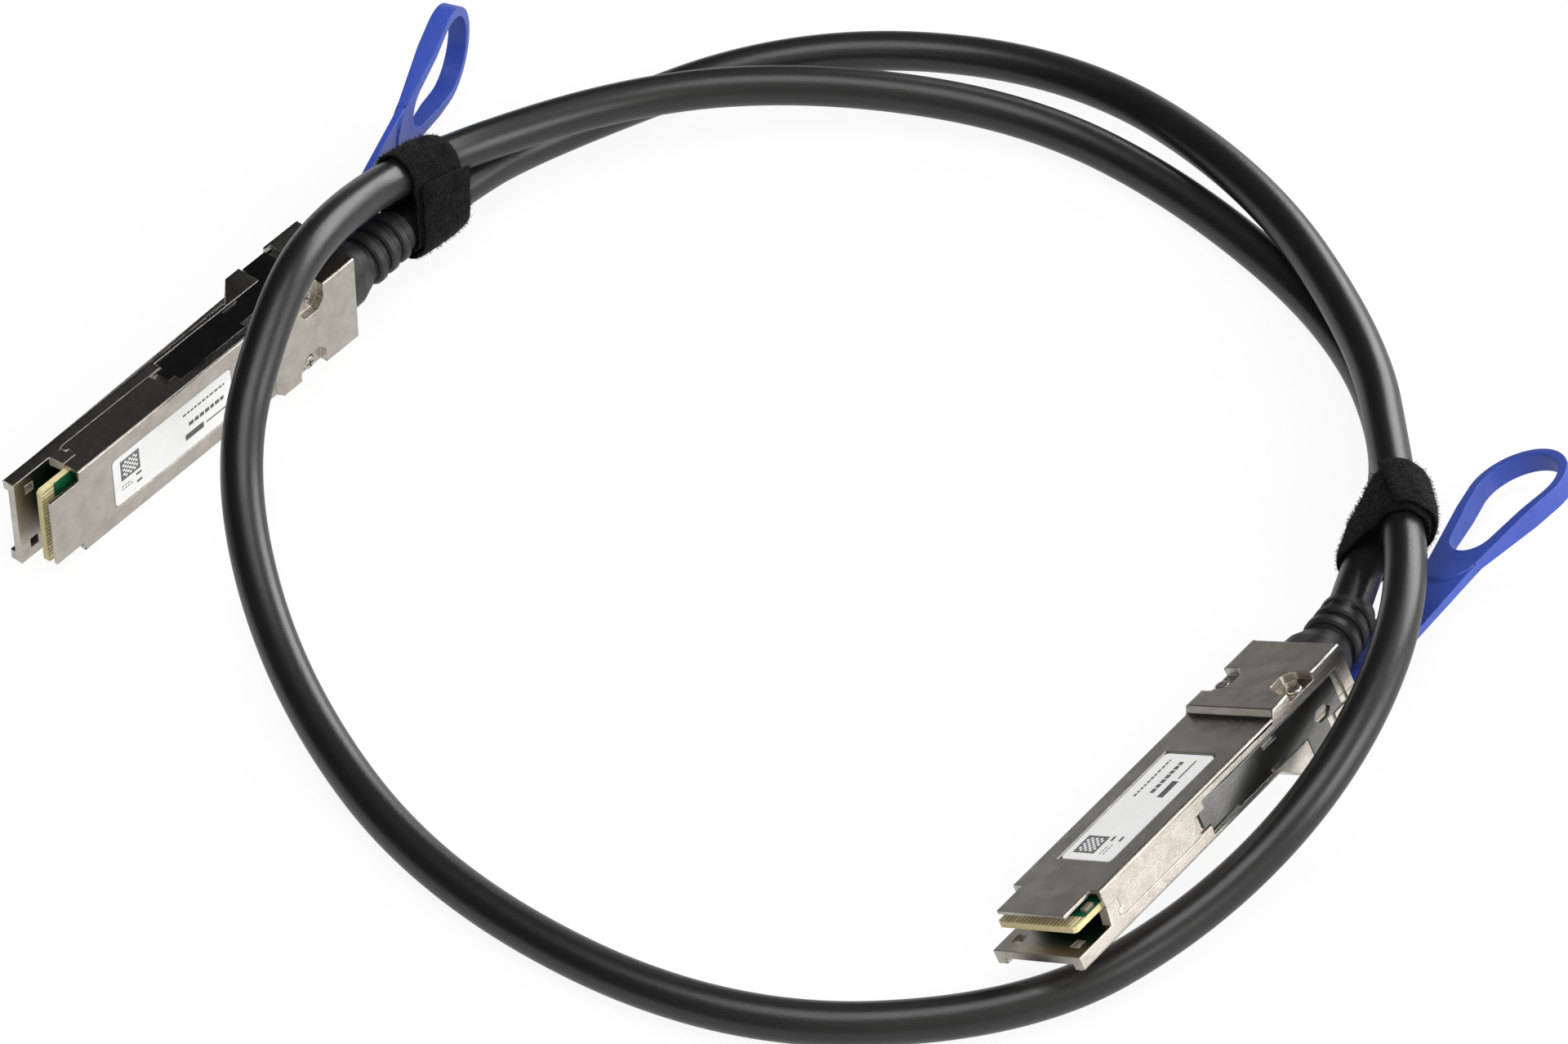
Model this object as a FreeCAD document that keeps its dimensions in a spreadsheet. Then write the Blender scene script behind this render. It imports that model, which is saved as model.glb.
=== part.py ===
import FreeCAD, Part
import math
import os

import Sketcher

# Direct attach copper cable: two die-cast plugs on one round cable, lying in a loose double loop.
# Millimetres, +Z up. The origin is on the surface that everything lies on, under the middle of the
# plugs and their pull tabs. Each plug is drawn in its own frame and then placed: X runs from the
# nose to the cable, Y across the plug, and Z from the latch side (0) up to the label side.

Vector = FreeCAD.Vector
document = FreeCAD.newDocument("direct_attach_cable")

# ---------------------------------------------------------------- driving dimensions

SIZES = {
    # plug housing
    "plug_width": 18.35,
    "plug_height": 8.5,
    "shell_length": 74.3,
    "mouth_depth": 8.85,
    "raised_length": 18.9,
    "raised_height": 9.69,
    "raised_step": 0.6,
    "parting_height": 2.2,
    "wall_tab_length": 2.85,
    "wall_neck_length": 2.0,
    "wall_neck_top": 3.6,
    "wall_neck_bottom": 2.55,
    "wall_neck_slope": 0.2,
    "floor_thickness": 1.2,
    "roof_thickness": 0.7,
    "cavity_clearance": 0.14,
    "waist_start": 29.0,
    "waist_wall": 1.775,
    "cavity_behind": 14.3,
    "edge_round": 0.4,
    # nose
    "tongue_start": 2.2,
    "tongue_half_width": 7.1,
    "nose_top": 2.44,
    "nose_plate": 1.44,
    "rail_width": 2.05,
    "nose_slot_start": 2.4,
    "nose_slot_end": 4.2,
    "nose_slot_inner": 5.2,
    # bulge of the latch side
    "bulge_behind": 21.3,
    "bulge_ramp": 4.0,
    "bulge_front_depth": 3.65,
    "bulge_depth": 3.9,
    "bulge_overhang": 0.7,
    "bulge_undercut": 1.0,
    "bridge_behind": 7.8,
    # paddle card
    "card_front": 2.3,
    "card_length": 24.7,
    "card_half_width": 8.21,
    "card_thickness": 1.0,
    "card_bottom": 5.25,
    "card_chamfer": 0.5,
    "card_ledge": 0.9,
    "pad_pitch": 0.8,
    "pad_width": 0.54,
    "pad_length": 2.3,
    "pad_thickness": 0.05,
    "pad_setback": 0.45,
    "post_distance": 20.0,
    "post_length": 2.0,
    "post_width": 1.5,
    "chip_start": 11.5,
    "chip_length": 4.0,
    "chip_height": 0.9,
    "coil_start": 6.4,
    "coil_edge": 0.8,
    "coil_length": 1.9,
    "coil_width": 1.1,
    "coil_height": 0.55,
    "capacitor_edge": 1.6,
    "capacitor_gap": 1.9,
    "capacitor_length": 1.0,
    "capacitor_width": 0.5,
    "capacitor_height": 0.4,
    # label and its recess
    "label_start": 16.2,
    "label_length": 28.9,
    "label_half_width": 5.55,
    "label_recess": 0.25,
    "label_margin": 0.3,
    "label_thickness": 0.12,
    "label_corner": 0.9,
    # cover screws
    "screw_behind": 11.0,
    "screw_half_pitch": 7.62,
    "screw_head_radius": 1.3,
    "screw_head_height": 1.0,
    "screw_seat": 7.7,
    "screw_shank_radius": 0.7,
    "screw_length": 6.6,
    "screw_clearance": 0.05,
    "screw_head_clearance": 0.1,
    "screw_pocket_floor": 8.15,
    "screw_pocket_inner": 4.3,
    "screw_pocket_length": 6.3,
    "screw_pocket_lead": 1.6,
    "screw_pocket_slant": 3.0,
    "screw_pocket_corner": 0.9,
    # cable end inside the plug
    "axis_height": 4.25,
    "cable_diameter": 7.0,
    "jacket_behind": 9.3,
    "bundle_radius": 3.2,
    "ring_behind": 9.1,
    "ring_length": 4.8,
    "ring_wall": 0.95,
    "seat_clearance": 0.05,
    "flange_behind": 3.9,
    "flange_length": 1.6,
    "flange_radius": 4.9,
    "neck_radius": 4.3,
    # twinax pairs and the moulding over their joints
    "pair_width": 1.3,
    "pair_height": 0.8,
    "pair_pitch": 4.0,
    "bundle_pitch": 1.4,
    "bundle_row": 0.75,
    "pair_lap": 3.0,
    "mould_length": 7.0,
    "mould_half_width": 7.2,
    # strain relief boot
    "boot_straight": 0.7,
    "boot_length": 16.7,
    "boot_base_length": 5.7,
    "boot_base_width": 13.0,
    "boot_base_height": 10.0,
    "boot_core_radius": 3.95,
    "boot_ring_radius": 5.0,
    "boot_ring_taper": 0.15,
    "boot_ring_length": 1.9,
    "boot_ring_pitch": 3.1,
    "boot_ring_distance": 7.1,
    "boot_ring_chamfer": 0.4,
    # latch slide
    "latch_thickness": 0.4,
    "latch_clearance": 0.05,
    "latch_travel": 1.6,
    "latch_sink": 0.25,
    "latch_gap": 0.2,
    "arm_start": 35.2,
    "arm_behind": 4.3,
    "arm_bend_start": 3.0,
    "arm_bend_length": 3.6,
    "arm_bottom": 1.1,
    "arm_top": 6.6,
    "finger_length": 1.5,
    "finger_bottom": 2.6,
    "finger_top": 5.3,
    "finger_room": 1.2,
    "keeper_start": 15.7,
    "keeper_length": 3.4,
    "keeper_height": 0.8,
    "keeper_edge": 0.3,
    "window_lead": 2.7,
    "window_length": 4.3,
    "window_height": 2.2,
    "window_edge": 0.3,
    "strap_behind": 13.8,
    "strap_length": 5.5,
    "strap_depth": 3.0,
    "strap_thickness": 0.5,
    "tail_half_width": 5.0,
    "tail_embed": 4.4,
    "tail_gap": 0.4,
    "tail_block_length": 4.0,
    "tail_block_depth": 3.65,
    "tail_block_top": 2.0,
    # return springs
    "spring_half_pitch": 6.6,
    "spring_radius": 0.55,
    "spring_wire": 0.24,
    "spring_turns": 6.0,
    "spring_wall": 1.0,
    "spring_clearance": 0.12,
    "ear_reach": 1.0,
    # pull tab
    "anchor_length": 6.3,
    "anchor_half_width": 6.0,
    "anchor_depth": 4.1,
    "anchor_top": 1.2,
    "tab_centre": 2.9,
    "tab_width": 10.7,
    "tab_thickness": 1.2,
    "tab_bend_radius": 5.0,
    "tab_length": 55.0,
    "loop_length": 28.0,
    "loop_width": 18.3,
    "loop_wall": 1.7,
    "loop_depth": 3.5,
    "loop_neck": 2.0,
    "loop_tip_radius": 4.3,
    "loop_swell": 12.0,
    "loop_step": 0.3,
    # strap ties round the crossings
    "tie_width": 11.0,
    "tie_thickness": 1.0,
    "tie_clearance": 0.4,
}

# Where each plug lies, and how its boot and tab are bent.
PLUGS = {
    "left": {
        "nose": (-85.95, 86.335, 9.175),
        "turn": (0.0, 0.0, 90.0),
        "boot_bend": 0.0,
        "tab_straight": 0.3,
        "tab_bend": 21.0,
        "tab_swing": 0.0,
    },
    "right": {
        "nose": (-54.7, -102.2, 10.6),
        "turn": (1.67, 1.92, -30.93),
        "boot_bend": 20.0,
        "tab_straight": 0.3,
        "tab_bend": -5.0,
        "tab_swing": -2.5,
    },
}

# Corners of the cable's route on the table, between the two plugs. The two ends of the route, in
# the plugs, come from the plugs themselves.
ROUTE = [
    (18.2, 82.085, 9.175),
    (44.7, 81.4, 3.5),
    (89.7, 63.4, 3.5),
    (115.2, 22.9, 4.5),
    (107.2, -24.1, 10.0),
    (84.2, -63.6, 13.0),
    (62.2, -83.6, 15.5),
    (35.6, -106.5, 21.5),
    (2.6, -117.0, 17.5),
    (-26.3, -113.1, 5.5),
    (-59.3, -103.1, 3.5),
    (-90.8, -69.1, 4.0),
    (-97.3, -16.6, 3.5),
    (-82.3, 28.4, 4.5),
    (-59.8, 60.9, 15.5),
    (-35.8, 72.1, 28.5),
    (-17.3, 78.2, 29.0),
    (13.2, 86.3, 15.8),
    (54.7, 72.4, 11.0),
    (79.2, 50.4, 9.5),
    (99.7, 20.9, 5.0),
    (102.7, -11.6, 3.5),
    (93.7, -52.1, 3.5),
    (72.2, -79.1, 5.5),
    (44.9, -91.0, 10.9),
]

# Each strap tie is round the two strands that pass a place, and runs along a direction.
TIES = {
    "left_tie": {"place": (11.6, 83.9, 12.2), "along": (1.0, 0.0, -0.12)},
    "right_tie": {"place": (51.4, -90.0, 12.8), "along": (0.83, 0.55, -0.12)},
}


class Size:
    """A length that knows its number and the sheet expression that it comes from."""

    def __init__(self, value, text):
        self.value = value
        self.text = text

    def _join(self, other, sign, number):
        return Size(number, "(" + self.text + " " + sign + " " + as_size(other).text + ")")

    def __add__(self, other):
        return self._join(other, "+", self.value + as_size(other).value)

    def __sub__(self, other):
        return self._join(other, "-", self.value - as_size(other).value)

    def __mul__(self, other):
        return self._join(other, "*", self.value * as_size(other).value)

    def __truediv__(self, other):
        return self._join(other, "/", self.value / as_size(other).value)

    def __neg__(self):
        return Size(-self.value, "(0 - " + self.text + ")")

    def __float__(self):
        return float(self.value)


def as_size(number):
    """Give a plain number as a Size, and a Size as it is."""
    if isinstance(number, Size):
        return number
    return Size(float(number), repr(float(number)))


class Sheet:
    """The spreadsheet of driving dimensions; sheet.plug_width is the Size in the cell of that alias."""

    def __init__(self, sizes):
        self.table = document.addObject("Spreadsheet::Sheet", "Sizes")
        for row, (alias, number) in enumerate(sizes.items(), start=1):
            self.table.set("A" + str(row), alias)
            self.table.set("B" + str(row), str(number))
            self.table.setAlias("B" + str(row), alias)
            setattr(self, alias, Size(number, "Sizes." + alias))
        document.recompute()


sheet = Sheet(SIZES)

# How far a cutting outline reaches past the piece that it cuts.
OVERCUT = 1.0

# ---------------------------------------------------------------- drawing helpers

# For each origin plane: its role, and which way its normal points along its axis.
PLANES = {"XY": ("XY_Plane", 1), "XZ": ("XZ_Plane", -1), "YZ": ("YZ_Plane", 1)}


def new_body(name):
    """Start a PartDesign body whose label is the name of its node."""
    body = document.addObject("PartDesign::Body", name)
    body.Label = name
    return body


def origin_feature(body, role):
    """Find a plane or axis of the body's own origin."""
    for feature in body.Origin.OriginFeatures:
        if feature.Role == role:
            return feature
    raise ValueError("no origin feature " + role)


def draw(body, plane, at, corners):
    """Draw a closed outline on a plane of the body, each corner held by two bound dimensions.

    at is the place of the sketch along the plane's own axis.
    """
    role, normal = PLANES[plane]
    sketch = body.newObject("Sketcher::SketchObject", body.Name + "_outline")
    sketch.AttachmentSupport = [(origin_feature(body, role), "")]
    sketch.MapMode = "FlatFace"
    depth = as_size(at) * normal
    sketch.AttachmentOffset = FreeCAD.Placement(Vector(0, 0, depth.value), FreeCAD.Rotation())
    sketch.setExpression("AttachmentOffset.Base.z", depth.text)
    places = [(as_size(a), as_size(b)) for a, b in corners]
    count = len(places)
    for index in range(count):
        start, end = places[index], places[(index + 1) % count]
        line = Part.LineSegment(
            Vector(start[0].value, start[1].value, 0), Vector(end[0].value, end[1].value, 0)
        )
        sketch.addGeometry(line, False)
    for index in range(count):
        sketch.addConstraint(Sketcher.Constraint("Coincident", index, 2, (index + 1) % count, 1))
    for index, place in enumerate(places):
        for kind, length in zip(("DistanceX", "DistanceY"), place):
            number = sketch.addConstraint(Sketcher.Constraint(kind, index, 1, length.value))
            sketch.setExpression("Constraints[" + str(number) + "]", length.text)
    return sketch


def extrude(body, plane, at, corners, length, direction=1, cut=False, middle=False):
    """Pad an outline, or pocket it, by length along +1 or -1 of the plane's axis."""
    sketch = draw(body, plane, at, corners)
    kind = "PartDesign::Pocket" if cut else "PartDesign::Pad"
    feature = body.newObject(kind, body.Name + ("_pocket" if cut else "_pad"))
    feature.Profile = sketch
    length = as_size(length)
    feature.Length = abs(length.value)
    feature.setExpression("Length", length.text)
    if middle:
        feature.Midplane = True
    else:
        along = direction * PLANES[plane][1] > 0
        feature.Reversed = along if cut else not along
    body.Tip = feature
    return feature


def rectangle(a0, b0, a1, b1):
    """Give the four corners of a rectangle."""
    return [(a0, b0), (a1, b0), (a1, b1), (a0, b1)]


def turn_about_axis(body, height, outline, cut):
    """Revolve an outline of (X, radius) corners about a line along X at the given height."""
    sketch = draw(body, "XZ", 0.0, outline)
    height = as_size(height)
    sketch.AttachmentOffset = FreeCAD.Placement(Vector(0, height.value, 0), FreeCAD.Rotation())
    sketch.setExpression("AttachmentOffset.Base.y", height.text)
    kind = "PartDesign::Groove" if cut else "PartDesign::Revolution"
    feature = body.newObject(kind, body.Name + ("_groove" if cut else "_turned"))
    feature.Profile = sketch
    feature.ReferenceAxis = (sketch, ["H_Axis"])
    feature.Angle = 360.0
    body.Tip = feature
    return feature


def soften(body, radius, chosen, chamfer=False):
    """Round or chamfer the edges of the body's tip that the test picks by their middle and run."""
    document.recompute()
    names = []
    for index, edge in enumerate(body.Tip.Shape.Edges, start=1):
        if edge.Curve.TypeId != "Part::GeomLine":
            continue
        run = edge.Vertexes[-1].Point - edge.Vertexes[0].Point
        if chosen(edge.CenterOfMass, run):
            names.append("Edge" + str(index))
    if not names:
        raise ValueError("no edge to soften on " + body.Label)
    base = body.Tip
    kind = "PartDesign::Chamfer" if chamfer else "PartDesign::Fillet"
    feature = body.newObject(kind, body.Name + "_edges")
    feature.Base = (base, names)
    name = "Size" if chamfer else "Radius"
    setattr(feature, name, as_size(radius).value)
    feature.setExpression(name, as_size(radius).text)
    body.Tip = feature
    return feature


def near(a, b):
    """Say whether two lengths are the same to a hundredth of a millimetre."""
    return abs(float(a) - float(b)) < 0.01


def along_x(run):
    """Say whether an edge runs along X."""
    return abs(run.y) + abs(run.z) < 0.01 * run.Length


def along_z(run):
    """Say whether an edge runs along Z."""
    return abs(run.x) + abs(run.y) < 0.01 * run.Length


def feature_of(name, shape):
    """Put a finished shape in the document as a sub-part."""
    feature = document.addObject("Part::Feature", name)
    feature.Label = name
    feature.Shape = shape
    return feature


def box(x0, y0, z0, x1, y1, z1):
    """Make a box from its lowest and highest corners."""
    low = Vector(float(x0), float(y0), float(z0))
    return Part.makeBox(float(x1) - low.x, float(y1) - low.y, float(z1) - low.z, low)


# ---------------------------------------------------------------- places that pieces share

half_width = sheet.plug_width / 2
cavity_half = sheet.card_half_width + sheet.cavity_clearance
waist_half = half_width - sheet.waist_wall
roof = sheet.plug_height - sheet.roof_thickness
card_top = sheet.card_bottom + sheet.card_thickness
card_end = sheet.card_front + sheet.card_length
wall_tab_end = sheet.mouth_depth + sheet.wall_tab_length
wall_neck_end = sheet.mouth_depth + sheet.wall_neck_length
wall_neck_wide = wall_neck_end + sheet.wall_neck_slope
raised_start = sheet.shell_length - sheet.raised_length
cavity_end = sheet.shell_length - sheet.cavity_behind
bulge_start = sheet.shell_length - sheet.bulge_behind
bulge_ramp_end = bulge_start + sheet.bulge_ramp
bulge_end = sheet.shell_length + sheet.bulge_overhang
bridge_start = sheet.shell_length - sheet.bridge_behind
screw_distance = sheet.shell_length - sheet.screw_behind
jacket_start = sheet.shell_length - sheet.jacket_behind
ring_start = sheet.shell_length - sheet.ring_behind
flange_start = sheet.shell_length - sheet.flange_behind
boot_bend_start = sheet.shell_length + sheet.boot_straight
boot_end = sheet.shell_length + sheet.boot_length
arm_end = sheet.shell_length - sheet.arm_behind
arm_bend_start = sheet.arm_start + sheet.arm_bend_start
arm_bend_end = arm_bend_start + sheet.arm_bend_length
strap_start = sheet.shell_length - sheet.strap_behind
strap_end = strap_start + sheet.strap_length
strap_top = sheet.strap_thickness - sheet.strap_depth
tail_block_start = bulge_end + sheet.tail_gap
anchor_start = tail_block_start + sheet.tail_block_length
anchor_end = anchor_start + sheet.anchor_length
spring_seat = bulge_end - sheet.spring_wall
spring_push = bridge_start + sheet.ear_reach
ear_half = sheet.spring_radius + sheet.spring_wire / 2
cable_radius = sheet.cable_diameter / 2


def latch_pocket(gap):
    """Outline in X and Z of the pocket of a latch arm: the arm, a gap all round and its travel."""
    finger = sheet.arm_start - sheet.finger_length - sheet.finger_room - gap
    front = sheet.arm_start - gap
    rear = arm_end + gap + sheet.latch_travel
    leg_front = strap_start - gap
    leg_rear = strap_end + gap + sheet.latch_travel
    bottom = sheet.arm_bottom - gap
    return [
        (finger, sheet.finger_bottom - gap),
        (front, sheet.finger_bottom - gap),
        (front, bottom),
        (leg_front, bottom),
        (leg_front, -sheet.strap_depth - gap),
        (leg_rear, -sheet.strap_depth - gap),
        (leg_rear, bottom),
        (rear, bottom),
        (rear, sheet.arm_top + gap),
        (front, sheet.arm_top + gap),
        (front, sheet.finger_top + gap),
        (finger, sheet.finger_top + gap),
    ]


def sunk_pocket(gap):
    """Outline in X and Z of the deeper front of that pocket, where the arm is sunk."""
    outline = latch_pocket(gap)
    rear = arm_bend_end + gap + sheet.latch_travel
    return outline[:3] + [(rear, outline[2][1]), (rear, outline[-3][1])] + outline[-3:]


def cable_chamber():
    """Outline in X and radius of the space in the shells for the cable's end, ring and boot neck."""
    gap = sheet.seat_clearance
    ring_gap_start = ring_start - 0.2
    ring_gap_end = flange_start - gap
    ring_radius = cable_radius + sheet.ring_wall + gap
    flange_end = flange_start + sheet.flange_length + gap
    return [
        (cavity_end - 0.1, 0.0),
        (cavity_end - 0.1, sheet.bundle_radius),
        (ring_gap_start, sheet.bundle_radius),
        (ring_gap_start, ring_radius),
        (ring_gap_end, ring_radius),
        (ring_gap_end, sheet.flange_radius + gap),
        (flange_end, sheet.flange_radius + gap),
        (flange_end, sheet.neck_radius + gap),
        (sheet.shell_length + 1.0, sheet.neck_radius + gap),
        (sheet.shell_length + 1.0, 0.0),
    ]


def cut_latch_pockets(body):
    """Cut the shallow pockets that the latch arms slide in, one in each narrow side."""
    depth = sheet.latch_thickness + sheet.latch_clearance
    for side in (1, -1):
        at = half_width * side
        extrude(body, "XZ", at, latch_pocket(sheet.latch_gap), depth, direction=-side, cut=True)
        extrude(body, "XZ", at, sunk_pocket(sheet.latch_gap), depth + sheet.latch_sink,
                direction=-side, cut=True)


def cut_screw_holes(body, bottom, length, radius):
    """Drill two round holes on the axes of the cover screws."""
    sketch = body.newObject("Sketcher::SketchObject", body.Name + "_holes")
    sketch.AttachmentSupport = [(origin_feature(body, "XY_Plane"), "")]
    sketch.MapMode = "FlatFace"
    sketch.AttachmentOffset = FreeCAD.Placement(Vector(0, 0, as_size(bottom).value), FreeCAD.Rotation())
    sketch.setExpression("AttachmentOffset.Base.z", as_size(bottom).text)
    for index, side in enumerate((1, -1)):
        pitch = sheet.screw_half_pitch * side
        centre = Vector(screw_distance.value, pitch.value, 0)
        sketch.addGeometry(Part.Circle(centre, Vector(0, 0, 1), radius.value), False)
        for kind, length_ in (("DistanceX", screw_distance), ("DistanceY", pitch)):
            number = sketch.addConstraint(Sketcher.Constraint(kind, index, 3, length_.value))
            sketch.setExpression("Constraints[" + str(number) + "]", length_.text)
        number = sketch.addConstraint(Sketcher.Constraint("Radius", index, radius.value))
        sketch.setExpression("Constraints[" + str(number) + "]", radius.text)
    pocket = body.newObject("PartDesign::Pocket", body.Name + "_drilled")
    pocket.Profile = sketch
    pocket.Length = as_size(length).value
    pocket.setExpression("Length", as_size(length).text)
    pocket.Reversed = True
    body.Tip = pocket


# ---------------------------------------------------------------- the plug's pieces


def upper_shell(name):
    """Die-cast cover of the label side: tongue, raised rear, label recess and screw pockets."""
    body = new_body(name)
    top = sheet.plug_height
    side_view = [
        (sheet.mouth_depth, sheet.card_bottom),
        (wall_tab_end, sheet.card_bottom),
        (wall_tab_end, sheet.wall_neck_top),
        (wall_neck_wide, sheet.wall_neck_top),
        (wall_neck_end, sheet.wall_neck_bottom),
        (wall_tab_end, sheet.parting_height),
        (sheet.shell_length, sheet.parting_height),
        (sheet.shell_length, sheet.raised_height),
        (raised_start + sheet.raised_step, sheet.raised_height),
        (raised_start, top),
        (sheet.mouth_depth, top),
    ]
    extrude(body, "XZ", 0.0, side_view, sheet.plug_width, middle=True)
    tongue = rectangle(
        sheet.tongue_start, -sheet.tongue_half_width, sheet.mouth_depth + 1.0, sheet.tongue_half_width
    )
    extrude(body, "XY", roof, tongue, sheet.roof_thickness)
    soften(body, sheet.edge_round, lambda middle, run: along_x(run) and near(abs(middle.y), half_width)
           and middle.z > float(top) - 0.1)
    cavity = [
        (sheet.mouth_depth - 1.0, -cavity_half),
        (sheet.waist_start, -cavity_half),
        (sheet.waist_start, -waist_half),
        (cavity_end, -waist_half),
        (cavity_end, waist_half),
        (sheet.waist_start, waist_half),
        (sheet.waist_start, cavity_half),
        (sheet.mouth_depth - 1.0, cavity_half),
    ]
    extrude(body, "XY", sheet.parting_height, cavity, roof - sheet.parting_height, cut=True)
    turn_about_axis(body, sheet.axis_height, cable_chamber(), cut=True)
    recess = rectangle(
        sheet.label_start,
        -sheet.label_half_width,
        sheet.label_start + sheet.label_length,
        sheet.label_half_width,
    )
    extrude(body, "XY", top - sheet.label_recess, recess, sheet.label_recess + 0.1, cut=True)
    half_pocket = sheet.screw_pocket_length / 2
    start = screw_distance - half_pocket
    end = screw_distance + half_pocket
    inner = sheet.screw_pocket_inner
    lead = sheet.screw_pocket_lead
    outside = half_width + OVERCUT
    for side in (1, -1):
        pocket = [
            (start, outside * side),
            (start, (inner + sheet.screw_pocket_slant) * side),
            (start + lead, inner * side),
            (end - lead, inner * side),
            (end, (inner + lead) * side),
            (end, outside * side),
        ]
        depth = sheet.raised_height - sheet.screw_pocket_floor + OVERCUT
        extrude(body, "XY", sheet.screw_pocket_floor, pocket, depth, cut=True)
    soften(body, sheet.screw_pocket_corner, lambda middle, run: along_z(run)
           and middle.z > float(sheet.screw_pocket_floor)
           and abs(middle.x - float(screw_distance)) < float(half_pocket) + 0.01
           and abs(middle.y) < float(half_width) - 0.5)
    cut_latch_pockets(body)
    cut_screw_holes(body, sheet.screw_seat, sheet.screw_pocket_floor - sheet.screw_seat + 0.1,
                    sheet.screw_head_radius + sheet.screw_head_clearance)
    cut_screw_holes(body, sheet.parting_height - 0.5, sheet.screw_seat,
                    sheet.screw_shank_radius + sheet.screw_clearance)
    return body


def lower_shell(name):
    """Die-cast body of the latch side: nose plate, wall tabs, bulge and the latch's guide."""
    body = new_body(name)
    under_bulge = -sheet.bulge_depth
    guide_top = strap_top + sheet.latch_clearance
    guide_bottom = -sheet.strap_depth - sheet.latch_clearance
    side_view = [
        (0.0, 0.0),
        (bulge_start, 0.0),
        (bulge_ramp_end, -sheet.bulge_front_depth),
        (strap_start - sheet.latch_gap, -sheet.bulge_front_depth),
        (strap_start - sheet.latch_gap, guide_top),
        (bridge_start, guide_top),
        (bridge_start, under_bulge),
        (bulge_end, under_bulge),
        (bulge_end, -sheet.bulge_undercut),
        (sheet.shell_length, -sheet.bulge_undercut),
        (sheet.shell_length, sheet.parting_height),
        (wall_tab_end, sheet.parting_height),
        (wall_neck_end, sheet.wall_neck_bottom),
        (wall_neck_wide, sheet.wall_neck_top),
        (wall_tab_end, sheet.wall_neck_top),
        (wall_tab_end, sheet.card_bottom),
        (sheet.mouth_depth, sheet.card_bottom),
        (sheet.mouth_depth - 0.5, sheet.nose_top),
        (0.0, sheet.nose_top),
    ]
    extrude(body, "XZ", 0.0, side_view, sheet.plug_width, middle=True)
    soften(body, sheet.edge_round, lambda middle, run: along_x(run) and near(abs(middle.y), half_width)
           and near(middle.z, 0.0))
    between_rails = half_width - sheet.rail_width
    under_nose = rectangle(-1.0, -between_rails, sheet.mouth_depth - 1.3, between_rails)
    extrude(body, "XY", -1.0, under_nose, sheet.nose_top - sheet.nose_plate + 1.0, cut=True)
    ledge_half = sheet.card_half_width - sheet.card_ledge
    mouth = rectangle(sheet.mouth_depth - 1.0, -ledge_half, wall_tab_end + 1.0, ledge_half)
    extrude(body, "XY", sheet.nose_top, mouth, sheet.plug_height, cut=True)
    cavity = [
        (wall_tab_end, -cavity_half),
        (sheet.waist_start, -cavity_half),
        (sheet.waist_start, -waist_half),
        (cavity_end, -waist_half),
        (cavity_end, waist_half),
        (sheet.waist_start, waist_half),
        (sheet.waist_start, cavity_half),
        (wall_tab_end, cavity_half),
    ]
    extrude(body, "XY", sheet.floor_thickness, cavity, sheet.plug_height, cut=True)
    for side in (1, -1):
        slot = rectangle(
            sheet.nose_slot_start,
            sheet.nose_slot_inner * side,
            sheet.nose_slot_end,
            between_rails * side,
        )
        extrude(body, "XY", -1.0, slot, sheet.plug_height, cut=True)
        post_outer = (cavity_half - 1.0) * side
        post = rectangle(
            sheet.post_distance,
            post_outer - sheet.post_width * side,
            sheet.post_distance + sheet.post_length,
            post_outer,
        )
        extrude(body, "XY", sheet.floor_thickness - 0.2, post,
                sheet.card_bottom - sheet.floor_thickness + 0.2)
    turn_about_axis(body, sheet.axis_height, cable_chamber(), cut=True)
    cut_latch_pockets(body)
    slot_height = guide_top - guide_bottom
    reach = strap_end + sheet.latch_travel + sheet.latch_gap
    across = rectangle(bridge_start - 0.5, -half_width - 1.0, reach, half_width + 1.0)
    extrude(body, "XY", guide_bottom, across, slot_height, cut=True)
    tail_half = sheet.tail_half_width + sheet.latch_clearance
    guide = rectangle(bridge_start, -tail_half, bulge_end + 1.0, tail_half)
    extrude(body, "XY", guide_bottom, guide, slot_height, cut=True)
    spring_room = ear_half + sheet.spring_clearance
    spring_level = strap_top - sheet.strap_thickness / 2
    for side in (1, -1):
        middle = sheet.spring_half_pitch * side
        channel = rectangle(
            bridge_start + 0.5, middle - spring_room, spring_seat, middle + spring_room
        )
        extrude(body, "XY", spring_level - spring_room, channel, spring_room * 2, cut=True)
    cut_screw_holes(body, sheet.screw_seat - sheet.screw_length - 0.3, sheet.screw_length,
                    sheet.screw_shank_radius + sheet.screw_clearance)
    return body


def paddle_card(name):
    """Circuit card whose front edge is the plug's contact."""
    body = new_body(name)
    outline = rectangle(sheet.card_front, -sheet.card_half_width, card_end, sheet.card_half_width)
    extrude(body, "XY", sheet.card_bottom, outline, sheet.card_thickness)
    soften(body, sheet.card_chamfer, lambda middle, run: along_z(run)
           and near(middle.x, sheet.card_front), chamfer=True)
    return body


def card_pads(name):
    """Nineteen contact pads on each face of the card."""
    pitch = float(sheet.pad_pitch)
    half = float(sheet.pad_width) / 2
    start = float(sheet.card_front + sheet.pad_setback)
    end = start + float(sheet.pad_length)
    thickness = float(sheet.pad_thickness)
    top = float(card_top)
    bottom = float(sheet.card_bottom)
    pads = []
    for index in range(-9, 10):
        middle = index * pitch
        setback = 0.0 if index % 3 == 0 else 0.35
        pads.append(box(start + setback, middle - half, top, end, middle + half, top + thickness))
        pads.append(box(start + setback, middle - half, bottom - thickness, end, middle + half, bottom))
    return feature_of(name, Part.makeCompound(pads))


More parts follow.
